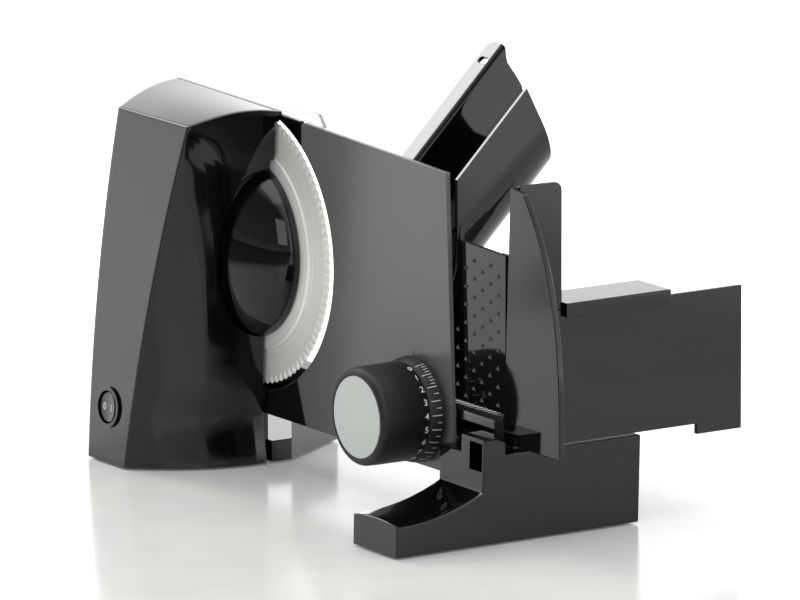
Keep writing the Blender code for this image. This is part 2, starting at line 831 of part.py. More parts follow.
def make_blade_lock():
    """Quarter-turn lock on the food side, with a grip slot across it."""
    back = -BLADE_STEP_DEPTH + FIT
    front = back + LOCK_THICKNESS
    lock = link("blade_lock", rod("Y", BLADE_CENTRE, LOCK_RADIUS, back, front), satin_black())
    reach = LOCK_RADIUS * 0.75
    slot_half = LOCK_RADIUS / 9
    z_range = (BLADE_HEIGHT - slot_half, BLADE_HEIGHT + slot_half)
    return cut(lock, box((-reach, reach), (front - LOCK_THICKNESS / 2, front + LOCK_THICKNESS), z_range))


def make_axle_bush():
    outer = AXLE_RADIUS + SPIN_GAP + BUSH_WALL
    shape = sleeve("Y", BLADE_CENTRE, AXLE_RADIUS + SPIN_GAP, outer, BUSH_FRONT - BUSH_LENGTH, BUSH_FRONT)
    return link("axle_bush", shape, bronze())


def make_gear_bracket():
    """Bent steel bracket: its flange sits on the motor and its plate holds the axle's bush."""
    plate_left = POCKET_LEFT - BRACKET_ARM
    plate_right = BUSH_WALL + AXLE_RADIUS + BRACKET_EDGE
    plate_y = (BRACKET_FRONT - BRACKET_THICKNESS, BRACKET_FRONT)
    plate_z = (BLADE_HEIGHT - 0.7 * DOME_RADIUS, BLADE_HEIGHT + HUB_RADIUS)
    flange_x = (MOTOR_X - MOTOR_RADIUS, POCKET_LEFT - 2 * FIT)
    flange_y = (GEAR_MIDDLE - MOTOR_RADIUS, BRACKET_FRONT)
    bracket = link("gear_bracket", box(flange_x, flange_y, (FLANGE_BOTTOM, FLANGE_TOP)), zinc_steel())
    weld(bracket, box((plate_left, flange_x[1]), plate_y, (FLANGE_BOTTOM, plate_z[1])))
    weld(bracket, box((flange_x[1] - RUN, plate_right), plate_y, plate_z))
    bush_hole = AXLE_RADIUS + SPIN_GAP + BUSH_WALL + FIT
    past = BRACKET_THICKNESS
    cut(bracket, rod("Y", BLADE_CENTRE, bush_hole, plate_y[0] - past, plate_y[1] + past))
    return cut(bracket, rod("Z", MOTOR_AXIS, SHAFT_RADIUS + RUN, FLANGE_BOTTOM - past, FLANGE_TOP + past))


# Motor


def worm_thread():
    """The worm's helical ridge, sunk a little into its core."""
    steps = 20
    core = WORM_RADIUS - TOOTH_ROOT
    tip = WORM_RADIUS + TOOTH_HEIGHT
    half = GEAR_PITCH / 4 - GEAR_BACKLASH / 2
    section = ((core - RUN, -1.75 * half), (tip, -0.8 * half), (tip, 0.8 * half), (core - RUN, 1.75 * half))
    shape = bmesh.new()
    start = BLADE_HEIGHT - WORM_LENGTH / 2
    rings = []
    for step in range(WORM_TURNS * steps + 1):
        angle = 2 * math.pi * step / steps
        rise = GEAR_PITCH * step / steps
        ring = []
        for radius, shift in section:
            x = MOTOR_X + radius * math.cos(angle)
            y = GEAR_MIDDLE + radius * math.sin(angle)
            ring.append(shape.verts.new((x, y, start + rise + shift)))
        rings.append(ring)
    for low, high in zip(rings, rings[1:]):
        stitch(shape, low, high, len(section))
    shape.faces.new(rings[0])
    shape.faces.new(rings[-1])
    return shape


def make_motor_shaft():
    """Motor shaft and worm in one piece."""
    core = WORM_RADIUS - TOOTH_ROOT
    worm_bottom = BLADE_HEIGHT - WORM_LENGTH / 2 - GEAR_PITCH
    worm_top = BLADE_HEIGHT + WORM_LENGTH / 2 + GEAR_PITCH
    bottom = BASE_COVER_TOP + 3 * RUN
    profile = [
        (0.0, bottom),
        (SHAFT_RADIUS, bottom),
        (SHAFT_RADIUS, worm_bottom),
        (core, worm_bottom),
        (core, worm_top),
        (0.0, worm_top),
    ]
    shaft = link("motor_shaft", turned(profile, "Z", MOTOR_AXIS), steel())
    return weld(shaft, worm_thread())


def make_motor_can():
    inner = MOTOR_RADIUS - MOTOR_WALL
    shape = sleeve("Z", MOTOR_AXIS, inner, MOTOR_RADIUS, MOTOR_FOOT, MOTOR_TOP)
    return link("motor_can", shape, zinc_steel())


def make_motor_caps():
    """End caps that close the can and carry the shaft."""
    bearing = SHAFT_RADIUS + SPIN_GAP
    places = (("motor_cap_lower", MOTOR_FOOT - FIT - ENDCAP_THICKNESS), ("motor_cap_upper", MOTOR_TOP + FIT))
    for name, start in places:
        shape = sleeve("Z", MOTOR_AXIS, bearing, MOTOR_RADIUS, start, start + ENDCAP_THICKNESS)
        link(name, shape, zinc_steel())


def make_rotor():
    play = 4 * RUN
    shape = sleeve("Z", MOTOR_AXIS, SHAFT_RADIUS + FIT, ROTOR_RADIUS, MOTOR_FOOT + play, MOTOR_TOP - play)
    return link("rotor", shape, iron_core())


def make_motor_fan():
    """Fan with straight blades under the motor."""
    rising = ((FAN_ROOT, -FAN_ROOT_HALF), (FAN_RADIUS, -FAN_TIP_HALF))
    falling = ((FAN_RADIUS, FAN_TIP_HALF), (FAN_ROOT, FAN_ROOT_HALF))
    outline = []
    for index in range(FAN_BLADES):
        middle = 2 * math.pi * index / FAN_BLADES
        for radius, half in rising + falling:
            angle = middle + half
            outline.append((MOTOR_X + radius * math.cos(angle), GEAR_MIDDLE + radius * math.sin(angle)))
    top = MOTOR_FOOT - ENDCAP_THICKNESS - 2 * RUN
    fan = link("motor_fan", prism(outline, "Z", top - FAN_THICKNESS, top), satin_black())
    return cut(fan, rod("Z", MOTOR_AXIS, SHAFT_RADIUS + FIT, top - 2 * FAN_THICKNESS, top + FAN_THICKNESS))


def make_motor_cradle():
    inner = MOTOR_RADIUS + FIT
    bottom = BASE_COVER_TOP + FIT
    shape = sleeve("Z", MOTOR_AXIS, inner, inner + CRADLE_WALL, bottom, bottom + CRADLE_HEIGHT)
    return link("motor_cradle", shape, matte_black())


def make_capacitor():
    bottom = BASE_COVER_TOP + FIT
    centre = (MOTOR_X - MOTOR_RADIUS - CRADLE_WALL - CAPACITOR_RADIUS - RUN, TOWER_BASE_FRONT / 2 - RUN, 0.0)
    shape = rod("Z", centre, CAPACITOR_RADIUS, bottom, bottom + CAPACITOR_HEIGHT)
    return link("run_capacitor", shape, pale_cap())


# Switch


def make_switch_bezel():
    sleeve_outer = BEZEL_RADIUS - BEZEL_WALL
    bore = sleeve_outer - BEZEL_WALL / 2
    profile = [
        (bore, -BEZEL_WALL),
        (BEZEL_RADIUS, -BEZEL_WALL),
        (BEZEL_RADIUS, -FIT),
        (sleeve_outer, -FIT),
        (sleeve_outer, BEZEL_DEPTH),
        (bore, BEZEL_DEPTH),
    ]
    return link("switch_bezel", lean_with_face(turned(profile, "Y", (0, 0, 0))), gloss_black())


def make_rocker():
    """Round rocker, folded along its pivot so that one half stands out."""
    radius = BEZEL_RADIUS - 1.5 * BEZEL_WALL - RUN
    raised = math.tan(ROCKER_FOLD)
    shape = rod("Y", (0, 0, 0), radius, -FIT, ROCKER_THICKNESS)
    for vert in shape.verts:
        if vert.co.y < 0 and vert.co.x > 0:
            vert.co.y -= vert.co.x * raised
    return link("rocker", lean_with_face(shape), satin_black())


# Stop plate and its drive


def make_stop_plate():
    low = seam_on_circle(0.0)
    high = edge_on_circle(PLATE_LEFT_TOP)
    outline = [(PLATE_LEFT_BOTTOM, PLATE_BOTTOM), (PLATE_END_BOTTOM, PLATE_BOTTOM)]
    outline += [(PLATE_END_TOP, PLATE_TOP_RIGHT)]
    corner_x = PLATE_LEFT_TOP + PLATE_CORNER / 3
    outline += [(corner_x, plate_top(corner_x))]
    outline += [(PLATE_LEFT_TOP, plate_top(PLATE_LEFT_TOP) - PLATE_CORNER / 3)]
    outline += arc((0.0, OPENING_HEIGHT), BLADE_OPENING, opening_angle(high), opening_angle(low), ROUND // 2)
    plate = link("stop_plate", prism(outline, "Y", 0.0, PLATE_THICKNESS), gloss_black())
    return cut(plate, cam_pin_hole())


def cam_pin_hole():
    """Round way for the fixed cam pin through the plate and its bracket."""
    centre = (KNOB_X, 0, CAM_PIN_Z)
    return rod("Y", centre, CAM_PIN_RADIUS + RUN, -PLATE_THICKNESS, BRIDGE_FRONT)


def make_plate_bracket():
    front = PLATE_THICKNESS + FIT
    left = GUIDE_ROD_LEFT - 3 * GUIDE_ROD_RADIUS
    right = GUIDE_ROD_RIGHT + 3 * GUIDE_ROD_RADIUS
    z_range = (BRIDGE_BOTTOM, BRIDGE_TOP - FIT)
    shape = box((left, right), (front, front + PLATE_BRACKET_THICKNESS), z_range)
    return cut(link("plate_bracket", shape, zinc_steel()), cam_pin_hole())


def guide_rod_centres():
    height = (BRIDGE_BOTTOM + BRIDGE_TOP) / 2
    return [(GUIDE_ROD_LEFT, 0, height), (GUIDE_ROD_RIGHT, 0, height)]


def make_guide_rods():
    start = PLATE_THICKNESS + PLATE_BRACKET_THICKNESS + 2 * FIT
    rods = []
    for index, centre in enumerate(guide_rod_centres()):
        shape = rod("Y", centre, GUIDE_ROD_RADIUS, start, start + GUIDE_ROD_LENGTH)
        rods.append(link(f"guide_rod_{index + 1}", shape, steel()))
    return rods


def make_knob_axle():
    flange = KNOB_HUB_RADIUS
    profile = [
        (0.0, -FIT),
        (flange, -FIT),
        (flange, -KNOB_AXLE_FLANGE),
        (KNOB_AXLE_RADIUS, -KNOB_AXLE_FLANGE),
        (KNOB_AXLE_RADIUS, knob_bore_end() + RUN),
        (0.0, knob_bore_end() + RUN),
    ]
    return link("knob_axle", turned(profile, "Y", KNOB_AXIS), steel())


def knob_bore_end():
    return KNOB_FRONT + CAP_THICKNESS + 3 * RUN


def cam_floor(turn):
    """Depth of the cam inside the knob, at an angle measured from where the pin rests."""
    base = CAM_PIN_TIP - CAM_GAP
    full = 2 * math.pi
    if turn <= CAM_TURN:
        return base + PLATE_TRAVEL * turn / CAM_TURN
    top_end = CAM_TURN + CAM_FLAT
    fall_end = full - CAM_FLAT
    if turn <= top_end:
        return base + PLATE_TRAVEL
    if turn >= fall_end:
        return base
    return base + PLATE_TRAVEL * (fall_end - turn) / (fall_end - top_end)


def make_knob():
    """Knob with a spiral cam inside. Its steps run clockwise from the pin, seen from the front."""
    rear = KNOB_REAR - FIT
    ring_seat = DIAL_RADIUS - DIAL_WALL - FIT
    shape = bmesh.new()
    rings = []
    for step in range(ROUND):
        turn = 2 * math.pi * step / ROUND
        floor = cam_floor(turn)
        profile = [
            (KNOB_AXLE_RADIUS + SPIN_GAP, knob_bore_end()),
            (KNOB_AXLE_RADIUS + SPIN_GAP, rear),
            (KNOB_HUB_RADIUS, rear),
            (KNOB_HUB_RADIUS, floor),
            (KNOB_BORE, floor),
            (KNOB_BORE, rear),
            (ring_seat, rear),
            (ring_seat, KNOB_REAR - DIAL_LENGTH - FIT),
            (KNOB_RADIUS, KNOB_REAR - DIAL_LENGTH - FIT),
            (KNOB_RADIUS - FIT, KNOB_FRONT + 2.5 * KNOB_EDGE),
            (KNOB_RADIUS - KNOB_EDGE / 2, KNOB_FRONT + KNOB_EDGE),
            (KNOB_FACE_RADIUS, KNOB_FRONT),
            (CAP_RADIUS + FIT, KNOB_FRONT),
            (CAP_RADIUS + FIT, KNOB_FRONT + CAP_THICKNESS),
        ]
        ring = []
        for radius, offset in profile:
            x = KNOB_X - radius * math.sin(turn)
            z = KNOB_Z - radius * math.cos(turn)
            ring.append(shape.verts.new((x, offset, z)))
        rings.append(ring)
    back_pole = shape.verts.new((KNOB_X, knob_bore_end(), KNOB_Z))
    front_pole = shape.verts.new((KNOB_X, KNOB_FRONT + CAP_THICKNESS, KNOB_Z))
    for step in range(ROUND):
        here = [back_pole] + rings[step] + [front_pole]
        there = [back_pole] + rings[(step + 1) % ROUND] + [front_pole]
        for low in range(len(here) - 1):
            corners = (here[low], there[low], there[low + 1], here[low + 1])
            shape.faces.new(list(dict.fromkeys(corners)))
    return link("knob", shape, matte_black())


def make_dial_ring():
    inner = DIAL_RADIUS - DIAL_WALL
    end = KNOB_REAR - DIAL_LENGTH
    profile = [
        (inner, KNOB_REAR),
        (DIAL_RADIUS, KNOB_REAR),
        (DIAL_RADIUS - FIT, KNOB_REAR - DIAL_LENGTH / 2),
        (KNOB_RADIUS + FIT, end),
        (inner, end),
    ]
    return link("dial_ring", turned(profile, "Y", KNOB_AXIS), satin_black())


def make_knob_cap():
    shape = rod("Y", KNOB_AXIS, CAP_RADIUS, KNOB_FRONT, KNOB_FRONT + CAP_THICKNESS - FIT)
    return link("knob_cap", shape, pale_cap())


# Bridge, rail and foot


def make_bridge():
    end = FOOT_RIGHT - WINDOW_SIDE
    shape = box((BRIDGE_LEFT, end), (BRIDGE_FRONT, BRIDGE_BACK), (BRIDGE_BOTTOM, BRIDGE_TOP))
    bridge = link("bridge", shape, aluminium())
    flange = box((BRIDGE_LEFT, WALL_RIGHT), (PLATE_THICKNESS + FIT, RAIL_Y), (BRIDGE_BOTTOM, BRIDGE_TOP))
    weld(bridge, flange)
    for centre in guide_rod_centres():
        cut(bridge, rod("Y", centre, GUIDE_ROD_RADIUS + SPIN_GAP, 0.0, BRIDGE_BACK + PLATE_THICKNESS))
    pin_seat = (KNOB_X, 0, CAM_PIN_Z)
    return cut(bridge, rod("Y", pin_seat, CAM_PIN_RADIUS + FIT, 0.0, RAIL_Y + FIT))


def make_cam_pin():
    return link("cam_pin", rod("Y", (KNOB_X, 0, CAM_PIN_Z), CAM_PIN_RADIUS, CAM_PIN_TIP, RAIL_Y), steel())


def make_guide_rail():
    """T-shaped rail that the carriage's shoes hold."""
    half = RAIL_WIDTH / 2
    stem = RAIL_STEM_WIDTH / 2
    outline = [
        (RAIL_Y - stem, RAIL_BOTTOM),
        (RAIL_Y + stem, RAIL_BOTTOM),
        (RAIL_Y + stem, RAIL_HEAD_BOTTOM),
        (RAIL_Y + half, RAIL_HEAD_BOTTOM),
        (RAIL_Y + half, RAIL_HEAD_TOP),
        (RAIL_Y - half, RAIL_HEAD_TOP),
        (RAIL_Y - half, RAIL_HEAD_BOTTOM),
        (RAIL_Y - stem, RAIL_HEAD_BOTTOM),
    ]
    return link("guide_rail", prism(outline, "X", BRIDGE_LEFT, FOOT_INNER_RIGHT), steel())


def make_foot_block():
    """Right foot: toe with a hollow sweep, block, and the boss with its window."""
    sweep = []
    sweep_steps = 6
    for step in range(sweep_steps + 1):
        part = 1 - step / sweep_steps
        y = FOOT_TOE + (FOOT_RISER - FOOT_TOE) * part
        sweep.append((y, TOE_HEIGHT + (TOE_RISE - TOE_HEIGHT) * part ** 2.2))
    outline = [(FOOT_TOE, TOWER_BOTTOM), (FOOT_BACK, TOWER_BOTTOM)]
    outline += [(FOOT_BACK, FOOT_TOP), (FOOT_RISER, FOOT_TOP)]
    foot = link("foot_block", prism(outline + sweep, "X", FOOT_LEFT, FOOT_RIGHT), gloss_black())
    boss_z = (TOE_HEIGHT, BOSS_TOP)
    weld(foot, box((BOSS_LEFT, FOOT_RIGHT), (FOOT_RISER, BOSS_BACK), boss_z))
    pocket_z = (BRIDGE_BOTTOM - FIT, BOSS_TOP + RUN)
    cut(foot, box((0.0, FOOT_INNER_RIGHT + FIT), (BRIDGE_FRONT - FIT, BRIDGE_BACK + FIT), pocket_z))
    window_y = (FOOT_RISER - RUN, BRIDGE_FRONT)
    cut(foot, box((WINDOW_LEFT, FOOT_INNER_RIGHT), window_y, (WINDOW_BOTTOM, WINDOW_TOP)))
    for vert in foot.data.vertices:
        vert.co.x += FOOT_DRAFT * vert.co.z / FOOT_TOP
    return foot


def make_foot_pads():
    """Rubber pads. The first one lies at the origin."""
    inset = 2 * FOOT_PAD_RADIUS
    middle = (FOOT_LEFT + FOOT_RIGHT) / 2
    places = [
        (0.0, 0.0),
        (TOWER_LEFT_FRONT[0] + FOOT_PAD_RADIUS, TOWER_BASE_FRONT + inset),
        (TOWER_LEFT_BACK[0] + inset, -inset),
        (LEG_BACK[0] - inset, LEG_BACK[1] - inset),
        (middle, FOOT_TOE + inset),
        (middle, FOOT_BACK - inset),
    ]
    pads = []
    for index, (x, y) in enumerate(places):
        shape = rod("Z", (x, y, 0.0), FOOT_PAD_RADIUS, 0.0, PAD_HEIGHT, 24)
        pads.append(link(f"foot_pad_{index + 1}", shape, rubber()))
    return pads


# Carriage


def make_carriage_floor():
    """Floor with fine ribs along Y."""
    right = WALL_X - WALL_THICKNESS - FIT
    outline = [(right, FLOOR_TOP), (right, FLOOR_BOTTOM)]
    outline += [(CARRIAGE_LEFT, FLOOR_BOTTOM), (CARRIAGE_LEFT, FLOOR_TOP)]
    groove_top = FLOOR_TOP - RIB_HEIGHT
    count = int((right - CARRIAGE_LEFT) / RIB_PITCH)
    for index in range(1, count):
        x = CARRIAGE_LEFT + index * RIB_PITCH
        half = RIB_PITCH / 4
        outline += [(x - half, FLOOR_TOP), (x, groove_top), (x + half, FLOOR_TOP)]
    carriage_floor = link("carriage_floor", prism(outline, "Y", CARRIAGE_FRONT, CARRIAGE_BACK), satin_black())
    guard_y = (0.0, CARRIAGE_FRONT + GUARD_THICKNESS + FIT)
    return cut(carriage_floor, box((GUARD_LEFT - FIT, WALL_X), guard_y, (GUARD_BOTTOM, WALL_TOP)))


def make_carriage_wall():
    """End wall with its skirt. It steps up where it passes over the guide rail."""
    front = CARRIAGE_FRONT + GUARD_THICKNESS + FIT
    rail_clear = BRIDGE_BACK + RUN
    step = RAIL_HEAD_TOP + 2 * RUN
    outline = [
        (front, step),
        (rail_clear, step),
        (rail_clear, WALL_BOTTOM),
        (SKIRT_START, WALL_BOTTOM),
        (SKIRT_START, SKIRT_BOTTOM),
        (CARRIAGE_BACK, SKIRT_BOTTOM),
        (CARRIAGE_BACK, WALL_TOP),
        (front, WALL_TOP),
    ]
    return link("carriage_wall", prism(outline, "X", WALL_X - WALL_THICKNESS, WALL_X), gloss_black())


def make_thumb_guard():
    """Upright fin in the blade's plane, with a curved operator's edge."""
    edge = []
    edge_steps = 14
    for step in range(edge_steps + 1):
        part = step / edge_steps
        x = GUARD_RIGHT - (GUARD_RIGHT - GUARD_RIGHT_TOP) * part ** 3.1
        edge.append((x, GUARD_BOTTOM + (GUARD_TOP - GUARD_TOP_DROP - GUARD_BOTTOM) * part))
    outline = [(GUARD_LEFT, GUARD_BOTTOM)] + edge + [(GUARD_LEFT_TOP, GUARD_TOP)]
    shape = prism(outline, "Y", CARRIAGE_FRONT, CARRIAGE_FRONT + GUARD_THICKNESS)
    return link("thumb_guard", shape, gloss_black())


def make_finger_panel():
    front = CARRIAGE_FRONT + GUARD_THICKNESS + FIT
    corner = (PANEL_BACK - PANEL_CORNER, PANEL_TOP - PANEL_CORNER)
    outline = [(front, WALL_TOP + FIT), (PANEL_BACK, WALL_TOP + FIT)]
    outline += arc(corner, PANEL_CORNER, 0.0, math.pi / 2, 5)
    outline += [(front, PANEL_TOP)]
    return link("finger_panel", prism(outline, "X", WALL_X - WALL_THICKNESS, WALL_X), gloss_black())


def make_slide_shoes():
    """Two shoes under the floor that grip the rail's head."""
    half = RAIL_WIDTH / 2 + RUN
    outer = half + SHOE_WALL
    stem = RAIL_STEM_WIDTH / 2 + RUN
    bottom = BRIDGE_TOP + RUN
    top = FLOOR_BOTTOM - FIT
    head_low = RAIL_HEAD_BOTTOM - FIT
    head_high = RAIL_HEAD_TOP + FIT
    outline = [
        (RAIL_Y - outer, bottom),
        (RAIL_Y - stem, bottom),
        (RAIL_Y - stem, head_low),
        (RAIL_Y - half, head_low),
        (RAIL_Y - half, head_high),
        (RAIL_Y + half, head_high),
        (RAIL_Y + half, head_low),
        (RAIL_Y + stem, head_low),
        (RAIL_Y + stem, bottom),
        (RAIL_Y + outer, bottom),
        (RAIL_Y + outer, top),
        (RAIL_Y - outer, top),
    ]
    left = BRIDGE_LEFT + CARRIAGE_TRAVEL + 2 * RUN
    right = WALL_X - WALL_THICKNESS - SHOE_LENGTH - 6 * RUN
    shoes = []
    for index, start in enumerate((left, right)):
        shape = prism(outline, "X", start, start + SHOE_LENGTH)
        shoes.append(link(f"slide_shoe_{index + 1}", shape, gear_nylon()))
    return shoes


# Food holder and chute


def make_press_plate():
    """Press plate with staggered studs, cut away where the chute's mouth comes through."""
    notch_x = CHUTE_NEAR + FIT
    notch_z = chute_point(0.0, CHUTE_DEPTH, chute_mouth(CHUTE_DEPTH, PRESS_FRONT))[2] - FIT
    outline = [
        (PRESS_LEFT, PRESS_BOTTOM),
        (PRESS_RIGHT, PRESS_BOTTOM),
        (PRESS_RIGHT, PRESS_TOP - PRESS_TOP_DROP),
        (notch_x, PRESS_TOP),
        (notch_x, notch_z),
        (PRESS_LEFT, notch_z),
    ]
    plate = link("press_plate", prism(outline, "Y", PRESS_FRONT, PRESS_BACK), gloss_black())
    return weld(plate, stud_field(notch_x, notch_z))


def stud_field(notch_x, notch_z):
    """Small pyramids in staggered columns, sunk a little into the press plate."""
    shape = bmesh.new()
    columns = int((PRESS_RIGHT - PRESS_LEFT) / STUD_PITCH_X)
    rows = int((PRESS_TOP - PRESS_BOTTOM) / STUD_PITCH_Z)
    for column in range(columns):
        x = PRESS_RIGHT - STUD_PITCH_X * (column + 0.9)
        for row in range(rows):
            z = PRESS_BOTTOM + STUD_PITCH_Z * (row + 0.35 + 0.5 * (column % 2))
            in_notch = x < notch_x + STUD_SIZE and z > notch_z - STUD_SIZE
            too_high = z > PRESS_TOP - 3 * STUD_SIZE
            if not in_notch and not too_high:
                add_stud(shape, x, z)
    return shape


def add_stud(shape, x, z):
    """One three-sided pyramid pointing to -Y."""
    base = []
    for corner in range(3):
        angle = math.pi / 2 + 2 * math.pi * corner / 3
        point = (x + STUD_SIZE * math.cos(angle), PRESS_FRONT + FIT, z + STUD_SIZE * math.sin(angle))
        base.append(shape.verts.new(point))
    tip = shape.verts.new((x, PRESS_FRONT - STUD_HEIGHT, z))
    shape.faces.new(base)
    for corner in range(3):
        shape.faces.new((base[corner], base[(corner + 1) % 3], tip))


def make_holder_saddle():
    """Saddle over the carriage wall: inner body, top, and an outer lip."""
    inner_right = WALL_X - WALL_THICKNESS - RUN
    inner_left = inner_right - SADDLE_BODY
    lip_left = WALL_X + RUN
    lip_right = lip_left + SADDLE_WALL
    roof = WALL_TOP + RUN
    outline = [
        (inner_left, ARM_BOTTOM),
        (inner_right, ARM_BOTTOM),
        (inner_right, roof),
        (lip_left, roof),
        (lip_left, SADDLE_TOP - SADDLE_LIP),
        (lip_right, SADDLE_TOP - SADDLE_LIP),
        (lip_right, SADDLE_TOP),
        (inner_left, SADDLE_TOP),
    ]
    return link("holder_saddle", prism(outline, "Y", SADDLE_FRONT, SADDLE_BACK), gloss_black())


def make_holder_arm():
    right = WALL_X - WALL_THICKNESS - RUN
    left = right - ARM_WIDTH
    front = PRESS_BACK + FIT
    shape = box((left, right), (front, SADDLE_FRONT - FIT), (ARM_BOTTOM, WALL_TOP))
    holder_arm = link("holder_arm", shape, satin_black())
    face_top = PRESS_TOP - PRESS_THICKNESS
    press_face = box((left, PRESS_RIGHT), (front, front + ARM_FACE), (PRESS_BOTTOM, face_top))
    return weld(holder_arm, press_face)


def chute_point(across, depth, reach):
    """A point of the chute from its place across, its depth below the rim, and its reach up the slope."""
    cosine = math.cos(CHUTE_ANGLE)
    sine = math.sin(CHUTE_ANGLE)
    return Vector((
        CHUTE_MIDDLE + across,
        reach * cosine + depth * sine,
        CHUTE_RIM_HEIGHT + reach * sine - depth * cosine,
    ))


def chute_mouth(depth, front):
    """Reach at which the chute meets an upright plane in front."""
    return (front - depth * math.sin(CHUTE_ANGLE)) / math.cos(CHUTE_ANGLE)


def chute_end(across, depth):
    """Reach of the upper end: undercut below, longer on the far wall."""
    near_end = CHUTE_LENGTH - CHUTE_UNDERCUT * depth
    far_start = 0.45 * CHUTE_HALF_WIDTH
    far_full = 0.88 * CHUTE_HALF_WIDTH
    blend = min(max((-across - far_start) / (far_full - far_start), 0.0), 1.0)
    return near_end + (CHUTE_FAR_LENGTH - near_end) * blend


def trough_curve(inset):
    """Cross-section of one skin of the trough as (across, depth) points, near side to far side."""
    half_width = CHUTE_HALF_WIDTH - inset
    belly = CHUTE_BELLY - inset
    points = [(half_width, 0.0)]
    steps = 16
    for step in range(steps + 1):
        angle = math.pi * step / steps
        points.append((half_width * math.cos(angle), CHUTE_SIDE + belly * math.sin(angle)))
    points.append((-half_width, 0.0))
    return points


def make_trough():
    section = trough_curve(0.0) + list(reversed(trough_curve(CHUTE_WALL)))
    front = CARRIAGE_FRONT + RUN
    shape = bmesh.new()
    low = [shape.verts.new(chute_point(u, d, chute_mouth(d, front))) for u, d in section]
    high = [shape.verts.new(chute_point(u, d, chute_end(u, d))) for u, d in section]
    total = len(section)
    stitch(shape, low, high, total)
    for ring in (low, high):
        for index in range(total // 2 - 1):
            partner = total - 1 - index
            shape.faces.new((ring[index], ring[index + 1], ring[partner - 1], ring[partner]))
    return shape


def make_chute():
    chute = link("chute", make_trough(), gloss_black())
    outer = -CHUTE_HALF_WIDTH - CHUTE_FLANGE
    inner = -CHUTE_HALF_WIDTH + CHUTE_WALL / 2
    start = chute_mouth(0.0, CARRIAGE_FRONT + 2 * RUN)
    end = CHUTE_FAR_LENGTH - FIT
    weld(chute, flat_on_flange([(outer, start), (inner, start), (inner, end), (outer, end)], FIT, CHUTE_WALL))
    weld(chute, tongue_shape(FIT))
    return cut(chute, tongue_hole())


def flat_on_flange(outline, top, bottom):
    """Extrude an outline of (across, reach) points through the flange's thickness."""
    shape = bmesh.new()
    high = [shape.verts.new(chute_point(u, top, s)) for u, s in outline]
    low = [shape.verts.new(chute_point(u, bottom, s)) for u, s in outline]
    stitch(shape, low, high, len(outline))
    shape.faces.new(low)
    shape.faces.new(high)
    return shape


def tongue_middle():
    return -CHUTE_HALF_WIDTH - CHUTE_FLANGE + TONGUE_WIDTH / 2


def tongue_shape(top):
    """Rounded hang tongue at the chute's upper end."""
    half = TONGUE_WIDTH / 2
    middle = tongue_middle()
    base = CHUTE_FAR_LENGTH - CHUTE_FLANGE / 2
    tip = CHUTE_FAR_LENGTH + TONGUE_LENGTH
    corner = TONGUE_LENGTH / 2
    outline = [(middle - half, base), (middle + half, base)]
    outline += arc((middle + half - corner, tip - corner), corner, 0.0, math.pi / 2, 4)
    outline += arc((middle - half + corner, tip - corner), corner, math.pi / 2, math.pi, 4)
    return flat_on_flange(outline, top, CHUTE_WALL)


def tongue_hole():
    middle = tongue_middle()
    centre_reach = CHUTE_FAR_LENGTH - TONGUE_HOLE
    left = arc((middle - TONGUE_HOLE, centre_reach), TONGUE_HOLE * 0.7, math.pi / 2, 3 * math.pi / 2, 6)
    right = arc((middle + TONGUE_HOLE, centre_reach), TONGUE_HOLE * 0.7, -math.pi / 2, math.pi / 2, 6)
    return flat_on_flange(left + right, -CHUTE_WALL, 3 * CHUTE_WALL)


def build():
    clear_scene()
    make_motor_housing()
    make_base_cover()
    make_back_wall()
    make_cord_inlet()
    make_finger_guard()
    make_base_leg()
    make_hub_dome()
    make_axle_bush()
    make_gear_bracket()
    make_motor_can()
    make_motor_caps()
    make_motor_cradle()
    make_capacitor()
    make_switch_bezel()
    make_bridge()
    make_cam_pin()
    make_guide_rail()
    make_foot_block()
    make_foot_pads()
    blade_pieces = [make_blade(), make_blade_hub(), make_worm_wheel(), make_blade_axle()]
    ride_on("blade_pivot", BLADE_CENTRE, blade_pieces)
    ride_on("lock_pivot", BLADE_CENTRE, [make_blade_lock()])
    ride_on("motor_pivot", MOTOR_AXIS, [make_motor_shaft(), make_rotor(), make_motor_fan()])
    ride_on("rocker_pivot", switch_centre(), [make_rocker()])
    plate_pieces = [make_stop_plate(), make_plate_bracket(), *make_guide_rods(), make_knob_axle()]
    ride_on("plate_slide", (KNOB_X, 0.0, CAM_PIN_Z), plate_pieces)
    ride_on("knob_pivot", KNOB_AXIS, [make_knob(), make_dial_ring(), make_knob_cap()])
    carriage_pieces = [make_carriage_floor(), make_carriage_wall(), make_thumb_guard(), make_finger_panel()]
    ride_on("carriage_slide", (WALL_X, RAIL_Y, RAIL_HEAD_TOP), carriage_pieces + make_slide_shoes())
    holder_pieces = [make_press_plate(), make_holder_saddle(), make_holder_arm(), make_chute()]
    ride_on("holder_slide", (WALL_X, SADDLE_FRONT, WALL_TOP), holder_pieces)


build()
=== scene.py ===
import json
import math

import bmesh
import bpy
from mathutils import Matrix, Quaternion, Vector


